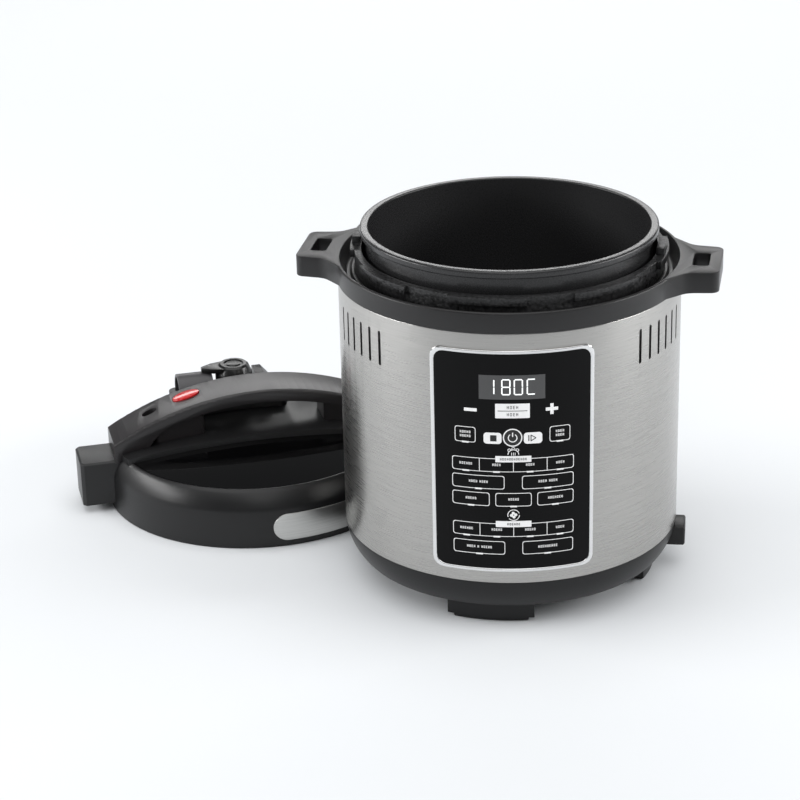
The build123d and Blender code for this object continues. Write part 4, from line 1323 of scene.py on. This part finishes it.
@dataclass(frozen=True)
class Key:
    """One touch key: an outlined box with a greeked caption and a lamp on its lower edge.

    Attributes:
        x: middle, across, in millimetres.
        z: middle, up, in millimetres.
        width: outer width.
        height: outer height.
        words: lengths of its caption's words, one tuple of letter counts a line.
        outlined: whether it has its own box.
    """

    x: float
    z: float
    width: float
    height: float
    words: tuple[tuple[int, ...], ...]
    outlined: bool = True


@dataclass
class ControlPanel:
    """The black glass panel in its bright bezel, with the display, the keys and what is behind it."""

    width: float = 126.5
    height: float = 189.5
    middle_z: float = 150.45
    radius: float = 140.0
    bezel_line: float = 3.0
    bezel_thick: float = 1.8
    lens_thick: float = 1.2
    line: float = 0.5
    rows: tuple[float, ...] = (148.9, 134.0, 119.2, 92.7, 77.0)
    key_height: float = 11.6

    def build(self) -> None:
        """Builds every piece of the panel."""
        self._bezel_and_lens()
        self._behind()
        self._print()
        self._display()

    def _bezel_and_lens(self) -> None:
        """Lays the bezel and the lens on the body's curve."""
        bezel = Ink()
        bezel.frame(0, self.middle_z, self.width, self.height, 8.0, self.bezel_line)
        ring = bezel.lay("bezel_frame", self.radius + 0.02, self.bezel_thick - 0.04)
        bevel = ring.modifiers.new("rounded", "BEVEL")
        bevel.width = 0.8 * MM
        bevel.segments = 4
        bevel.limit_method = "ANGLE"
        bevel.angle_limit = math.radians(50)
        fit(shade(baked(ring), 40), "base", Finishes.BEZEL, ["panel_bezel"])
        lens = Ink()
        inset = 2 * self.bezel_line - 0.1
        lens.fill(0, self.middle_z, self.width - inset, self.height - inset, 5.5)
        face = lens.lay("lens_glass", self.radius + 0.02, self.lens_thick - 0.02)
        fit(shade(face, 40), "base", Finishes.PANEL, ["panel_lens"])

    def _behind(self) -> None:
        """Dresses what the panel carries on its back."""
        fit(refined("panel_tray", "tray_moulding", 0.3), "base", Finishes.PAN, ["panel_tray"])
        fit(refined("display_board", "panel_board", 0.0), "base", Finishes.BOARD,
            ["display_board"])
        fit(refined("lcd_module", "lcd_and_switches", 0.3), "base", Finishes.DISPLAY,
            ["lcd_module"])

    def keys(self) -> list[Key]:
        """Gives every captioned key, from the top row down."""
        a, b, c, d, e = self.rows
        tall = self.key_height
        four = [(-36.7, 6), (-12.8, 4), (13.6, 4), (37.2, 4)]
        air = [(-36.7, 6), (-12.8, 5), (13.6, 5), (37.2, 4)]
        made = [
            Key(-36.9, 174.0, 16.2, 13.1, ((5,), (5,))),
            Key(36.9, 174.0, 16.2, 13.1, ((4,), (4,))),
            *(Key(x, a, 20.0, tall, ((n,),), False) for x, n in four),
            Key(-27.0, b, 40.9, tall, ((4, 4),)),
            Key(27.5, b, 40.6, tall, ((4, 4),)),
            Key(-32.9, c, 29.2, tall, ((5,),)),
            Key(0.5, c, 28.5, tall, ((5,),)),
            Key(33.5, c, 28.6, tall, ((7,),)),
            *(Key(x, d, 20.0, tall, ((n,),), False) for x, n in air),
            Key(-26.7, e, 40.8, tall, ((4, 1, 5),)),
            Key(27.5, e, 40.3, tall, ((9,),)),
        ]
        return made

    def _caption(self, ink: Ink, key: Key) -> None:
        """Prints a key's caption as plain letter-sized blocks that spell nothing."""
        tall, wide, pitch = 2.1, 1.15, 1.75
        for row, counts in enumerate(key.words):
            level = key.z + 0.4 + (len(key.words) - 1) * 1.7 - row * 3.4
            total = sum(counts) * pitch + (len(counts) - 1) * 1.3
            x = key.x - total / 2 + pitch / 2
            for count in counts:
                for letter in range(count):
                    self._glyph(ink, x, level, wide, tall, letter)
                    x += pitch
                x += 1.3

    @staticmethod
    def _glyph(ink: Ink, x: float, z: float, wide: float, tall: float, turn: int) -> None:
        """Prints one letter-sized block, whose form cycles so that a word isn't a plain bar."""
        line = 0.36
        if turn % 3 == 0:
            ink.stroke((x - wide / 2 + line / 2, z - tall / 2), (x - wide / 2 + line / 2, z + tall / 2), line)
            ink.stroke((x + wide / 2 - line / 2, z - tall / 2), (x + wide / 2 - line / 2, z + tall / 2), line)
            ink.stroke((x - wide / 2 + line, z), (x + wide / 2 - line, z), line)
        elif turn % 3 == 1:
            ink.frame(x, z, wide, tall, 0.3, line)
        else:
            ink.stroke((x - wide / 2 + line / 2, z - tall / 2), (x - wide / 2 + line / 2, z + tall / 2), line)
            for level in (-tall / 2 + line / 2, 0.0, tall / 2 - line / 2):
                ink.stroke((x - wide / 2 + line, z + level), (x + wide / 2, z + level), line)

    def _print(self) -> None:
        """Prints the keys, signs and captions, and sets the lamps."""
        light, black = Ink(), Ink()
        keys = self.keys()
        for key in keys:
            if key.outlined:
                light.frame(key.x, key.z, key.width, key.height, 1.9, self.line)
            self._caption(light, key)
        for row in (self.rows[0], self.rows[3]):
            self._strip(light, row)
        self._signs(light, black)
        self._icons(light)
        face = self.radius + self.lens_thick
        fit(light.lay("key_print", face + 0.04, 0.05), "base", Finishes.INK, ["panel_lens"])
        fit(black.lay("knocked_out_print", face + 0.11, 0.05), "base", Finishes.INK_BLACK,
            ["panel_lens"])
        spots = [(key.x, 0.0, key.z - key.height / 2 + 0.1) for key in keys]
        lamps = lamp_tree().grow(
            "key_lamps", [tuple(v * MM for v in spot) for spot in spots], Width=0.0054, Height=0.0013,
            Depth=0.00012, Radius=(face + 0.17) * MM, X=0.0, Y=0.0,
        )
        place = Matrix.Translation(COOKER) @ Matrix.Rotation(PANEL_TURN, 4, "Z")
        lamps.data.transform(place)
        fit(lamps, "base", Finishes.INK, ["panel_lens"])

    def _strip(self, light: Ink, z: float) -> None:
        """Prints a strip of four keys with the plate above its middle."""
        tall = self.key_height
        light.frame(0.3, z, 95.3, tall, 1.9, self.line)
        for x in (-26.1, 0.5, 26.9):
            light.stroke((x, z - tall / 2 + self.line), (x, z + tall / 2 - self.line), self.line)
        light.fill(0.5, z + 5.3, 28.1, 5.3, 0.3)

    def _signs(self, light: Ink, black: Ink) -> None:
        """Prints plus, minus, the time key and the start, stop and power keys."""
        light.fill(-32.6, 195.2, 9.9, 2.7)
        light.fill(30.6, 195.4, 9.6, 2.7)
        light.fill(30.6, 198.35, 2.6, 3.2)
        light.fill(30.6, 192.45, 2.6, 3.2)
        light.fill(0.0, 195.1, 26.9, 12.2, 0.4)
        light.fill(-15.6, 171.9, 14.0, 9.5, 2.6)
        light.fill(15.9, 171.9, 14.4, 9.5, 2.6)
        black.fill(0.0, 195.1, 23.0, 0.55)
        for z in (198.1, 192.1):
            for k in range(4):
                self._glyph(black, -3.6 + 2.4 * k, z, 1.5, 2.6, k)
        black.fill(-15.0, 171.9, 5.0, 5.2)
        black.ring(0.0, 172.6, 0.05, 8.15)
        black.fill(12.6, 171.9, 0.8, 5.0)
        black.stroke((14.3, 174.6), (14.3, 169.2), 0.7)
        black.stroke((14.2, 174.4), (18.2, 171.9), 0.7)
        black.stroke((14.2, 169.4), (18.2, 171.9), 0.7)
        for row, count in ((self.rows[0], 12), (self.rows[3], 6)):
            z = row + 5.3
            for k in range(count):
                self._glyph(black, 0.5 + (k - (count - 1) / 2) * 1.8, z, 1.2, 2.0, k)

    def _icons(self, light: Ink) -> None:
        """Prints the pot and fan icons."""
        pot = self.rows[0] + 10.4
        light.ring(0.5, pot - 1.2, 3.9, 4.5, 0, 180)
        light.ring(-2.6, pot + 2.6, 0.9, 1.4, 20, 250)
        light.ring(0.5, pot + 3.6, 1.0, 1.5, 0, 200)
        light.ring(3.6, pot + 2.6, 0.9, 1.4, -70, 160)
        for x in (-0.9, 0.5, 1.9):
            light.stroke((x, pot - 1.9), (x, pot + 0.6), 0.45)
        fan = self.rows[3] + 13.2
        light.ring(0.5, fan, 4.3, 4.9, 20, 200)
        light.ring(0.5, fan, 4.3, 4.9, 220, 360)
        for k in range(4):
            a = math.radians(90 * k + 10)
            light.ring(0.5 + 1.7 * math.cos(a), fan + 1.7 * math.sin(a), 0.05, 1.25)

    def _display(self) -> None:
        """Lays the display window, its digits and the power key's ring."""
        face = self.radius + self.lens_thick
        window = Ink()
        window.fill(-0.3, 214.8, 51.4, 20.2)
        fit(window.lay("display_window", face + 0.04, 0.05), "base", Finishes.DISPLAY,
            ["panel_lens"])
        lit = Ink()
        for x, segments in ((-17.4, "bc"), (-5.0, "abcdefg"), (4.6, "abcdef"), (14.6, "adef")):
            self._digit(lit, x, 215.1, segments)
        fit(lit.lay("display_digits", face + 0.11, 0.05), "base", Finishes.DIGIT, ["panel_lens"])
        power = Ink()
        power.ring(0.0, 172.6, 6.7, 7.6)
        power.ring(0.0, 172.4, 3.0, 3.75, 125, 415)
        power.fill(0.0, 175.1, 0.85, 3.6)
        fit(power.lay("power_mark", face + 0.17, 0.05), "base", Finishes.INK, ["panel_lens"])

    @staticmethod
    def _digit(ink: Ink, x: float, z: float, segments: str) -> None:
        """Prints one seven-segment digit.

        Args:
            ink: what it is printed in.
            x: middle, across.
            z: middle, up.
            segments: which of its segments are lit, from a at the top, clockwise, to g in the middle.
        """
        w, h, line, gap = 3.1, 6.2, 0.95, 0.35
        lines = {
            "a": ((-w + gap, h), (w - gap, h)), "d": ((-w + gap, -h), (w - gap, -h)),
            "g": ((-w + gap, 0), (w - gap, 0)), "b": ((w, gap), (w, h - gap)),
            "c": ((w, -h + gap), (w, -gap)), "e": ((-w, -h + gap), (-w, -gap)),
            "f": ((-w, gap), (-w, h - gap)),
        }
        for segment in segments:
            (x0, z0), (x1, z1) = lines[segment]
            ink.stroke((x + x0, z + z0), (x + x1, z + z1), line)


@dataclass
class CondensationCup:
    """The clear cup that slides out of its holder at the rear."""

    def build(self) -> None:
        """Dresses the cup."""
        fit(refined("condensation_cup", "clear_cup", 0.5), "cup", Finishes.CUP,
            ["condensation_cup"])


# ------------------------------------------------------------------------------------------------
# Lid
# ------------------------------------------------------------------------------------------------


@dataclass
class Lid:
    """The lid's cover, its two glossy panels, the inner plate and what hangs from it."""

    screw_pitch: Point2 = (128.0, 128.0)
    plate_low: float = 46.2

    def build(self) -> None:
        """Builds every piece of the lid but its handle."""
        fit(refined("lid_cover", "lid_moulding", 0.9), "lid", Finishes.LID, ["lid_cover"])
        for side in ("front", "rear"):
            fit(refined(f"lid_panel_{side}", f"gloss_panel_{side}", 0.0, flatten=0.0), "lid",
                Finishes.LID_GLOSS, [f"lid_panel_{side}"])
        fit(refined("lid_inner_plate", "inner_plate", 0.4), "lid", Finishes.LID_STEEL,
            ["lid_inner_plate"])
        fit(refined("seal_rack", "seal_carrier", 0.2), "lid", Finishes.LID_STEEL, ["seal_rack"])
        fit(refined("sealing_ring", "seal", 0.5), "seal", Finishes.SILICONE, ["sealing_ring"])
        fit(refined("block_shield", "valve_shield", 0.3), "lid", Finishes.LID_STEEL,
            ["block_shield"])
        fit(refined("float_valve", "float_pin", 0.3), "float", Finishes.FLOAT, ["float_valve"])
        fit(refined("float_gasket", "float_seal", 0.4), "float", Finishes.GASKET,
            ["float_gasket"])
        fit(refined("lid_badge", "badge_plate", 0.3), "lid", Finishes.BADGE, ["lid_badge"])
        spots = grid_points(LID, LID_TURN, (0.0, 0.0), self.screw_pitch, self.plate_low)
        screws = SCREWS.grow("lid_screw_set", spots, Head_radius=0.0034, Head_height=0.0018,
                             Shank_radius=0.00145, Shank_length=0.0055, Facing=-1.0)
        fit(screws, "lid", Finishes.FASTENER, ["lid_screws"])


@dataclass
class LidHandle:
    """The arched handle with its release button, and the steam valve behind it."""

    button_at: Point2 = (-61.0, 4.0)
    spring_low: float = 72.3
    spring_high: float = 81.7
    travel: float = 3.0

    def build(self) -> None:
        """Builds the handle and the valve."""
        fit(refined("lid_handle", "handle_moulding", 1.2), "lid", Finishes.HANDLE,
            ["lid_handle"])
        fit(refined("vent_button", "release_button", 0.9), "button", Finishes.RED,
            ["vent_button"])
        fit(refined("steam_hood", "steam_outlet", 0.5), "lid", Finishes.HOOD,
            ["steam_hood"])
        fit(refined("valve_stem", "valve_post", 0.3), "lid", Finishes.LID_STEEL, ["valve_stem"])
        fit(refined("steam_release_knob", "release_knob", 1.0), "knob", Finishes.KNOB,
            ["steam_release_knob"])
        spot = around(LID, LID_TURN, *self.button_at, self.spring_low)
        height = self.spring_high - self.spring_low
        coil = SPRINGS.grow(
            "button_coil", X=spot[0], Y=spot[1], Z=spot[2] + 0.5 * MM, Height=(height - 1.0) * MM,
            Turns=4.0, Mean_radius=0.005, Wire_radius=0.0005,
        )
        fit(shade(coil), "lid", Finishes.SPRING, ["button_spring"])
        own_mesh(coil)


# ------------------------------------------------------------------------------------------------
# Studio
# ------------------------------------------------------------------------------------------------


@dataclass(frozen=True)
class Softbox:
    """One soft rectangular light.

    Attributes:
        name: its name.
        place: where it stands, in metres.
        aim: the point that it faces.
        size: width and height, in metres.
        power: watts.
    """

    name: str
    place: Point3
    aim: Point3
    size: Point2
    power: float


@dataclass
class Studio:
    """Plain pale floor, soft lights and the camera."""

    camera_place: Point3 = (0.1097, -1.9553, 0.9430)
    yaw: float = -2.803
    pitch: float = 22.924
    roll: float = -1.393
    lens: float = 110.2
    sky: float = 0.17
    sun: float = 1.85
    lights: tuple[Softbox, ...] = field(
        default_factory=lambda: (
            Softbox("left_bank", (-1.9, -0.20, 0.8), (0.1, -0.07, 0.15), (0.4, 1.6), 26.0),
            Softbox("right_bank", (2.1, -0.10, 0.8), (0.1, -0.07, 0.15), (0.4, 1.6), 26.0),
            Softbox("front_fill", (0.3, -2.4, 1.7), (0.0, 0.0, 0.2), (0.9, 0.9), 4.0),
            Softbox("back_strip", (0.0, 2.6, 1.25), (0.0, 0.0, 0.15), (3.0, 0.35), 18.0),
        )
    )

    def build(self) -> None:
        """Sets the floor, the lights and the camera."""
        floor = mesh_object("floor", *block_mesh((16000, 16000, 10)))
        floor.data.transform(Matrix.Translation((0, 0, -0.00502)))
        floor.data.materials.append(Finishes.FLOOR.material())
        self._sky()
        self._overhead()
        for light in self.lights:
            self._softbox(light)
        self._camera()

    def _sky(self) -> None:
        """Gives the world an even pale light."""
        bpy.context.scene.view_settings.view_transform = "Standard"
        world = bpy.data.worlds.new("pale_sky")
        world.use_nodes = True
        back = world.node_tree.nodes["Background"]
        back.inputs["Color"].default_value = (0.92, 0.94, 0.96, 1.0)
        back.inputs["Strength"].default_value = self.sky
        bpy.context.scene.world = world

    def _overhead(self) -> None:
        """Adds the broad soft light from above, the same all over the floor."""
        data = bpy.data.lights.new("overhead", "SUN")
        data.energy = self.sun
        data.angle = math.radians(75)
        made = bpy.data.objects.new("overhead", data)
        made.matrix_world = Matrix.Rotation(math.radians(12), 4, "X")
        bpy.context.scene.collection.objects.link(made)

    @staticmethod
    def _softbox(light: Softbox) -> None:
        """Adds one area light."""
        data = bpy.data.lights.new(light.name, "AREA")
        data.shape = "RECTANGLE"
        data.size, data.size_y = light.size
        data.energy = light.power
        made = bpy.data.objects.new(light.name, data)
        aim = Vector(light.aim) - Vector(light.place)
        made.visible_camera = False
        turn = aim.to_track_quat("-Z", "Z").to_matrix().to_4x4()
        made.matrix_world = Matrix.Translation(light.place) @ turn
        bpy.context.scene.collection.objects.link(made)

    def _camera(self) -> None:
        """Stands the camera where it looks down on the cooker's front."""
        yaw, pitch, roll = (math.radians(a) for a in (self.yaw, self.pitch, self.roll))
        ahead = Vector((math.sin(yaw) * math.cos(pitch), math.cos(yaw) * math.cos(pitch), -math.sin(pitch)))
        right = Vector((math.cos(yaw), -math.sin(yaw), 0.0))
        up = right.cross(ahead)
        across = right * math.cos(roll) + up * math.sin(roll)
        above = up * math.cos(roll) - right * math.sin(roll)
        data = bpy.data.cameras.new("camera")
        data.lens = self.lens
        data.sensor_width = 36.0
        data.clip_end = 50.0
        made = bpy.data.objects.new("camera", data)
        turn = Matrix((across, above, -ahead)).transposed().to_4x4()
        made.matrix_world = Matrix.Translation(self.camera_place) @ turn
        bpy.context.scene.collection.objects.link(made)
        bpy.context.scene.camera = made


SCREWS = screw_tree()
SPRINGS = spring_tree()


def main() -> None:
    """Builds the whole scene, from the floor up."""
    Studio().build()
    for part in (Housing(), Well(), InnerPot(), Heater(), Electronics(), ControlPanel(), CondensationCup(),
                 Lid(), LidHandle()):
        LOG.info("building %s", type(part).__name__)
        part.build()


if __name__ == "__main__":
    main()
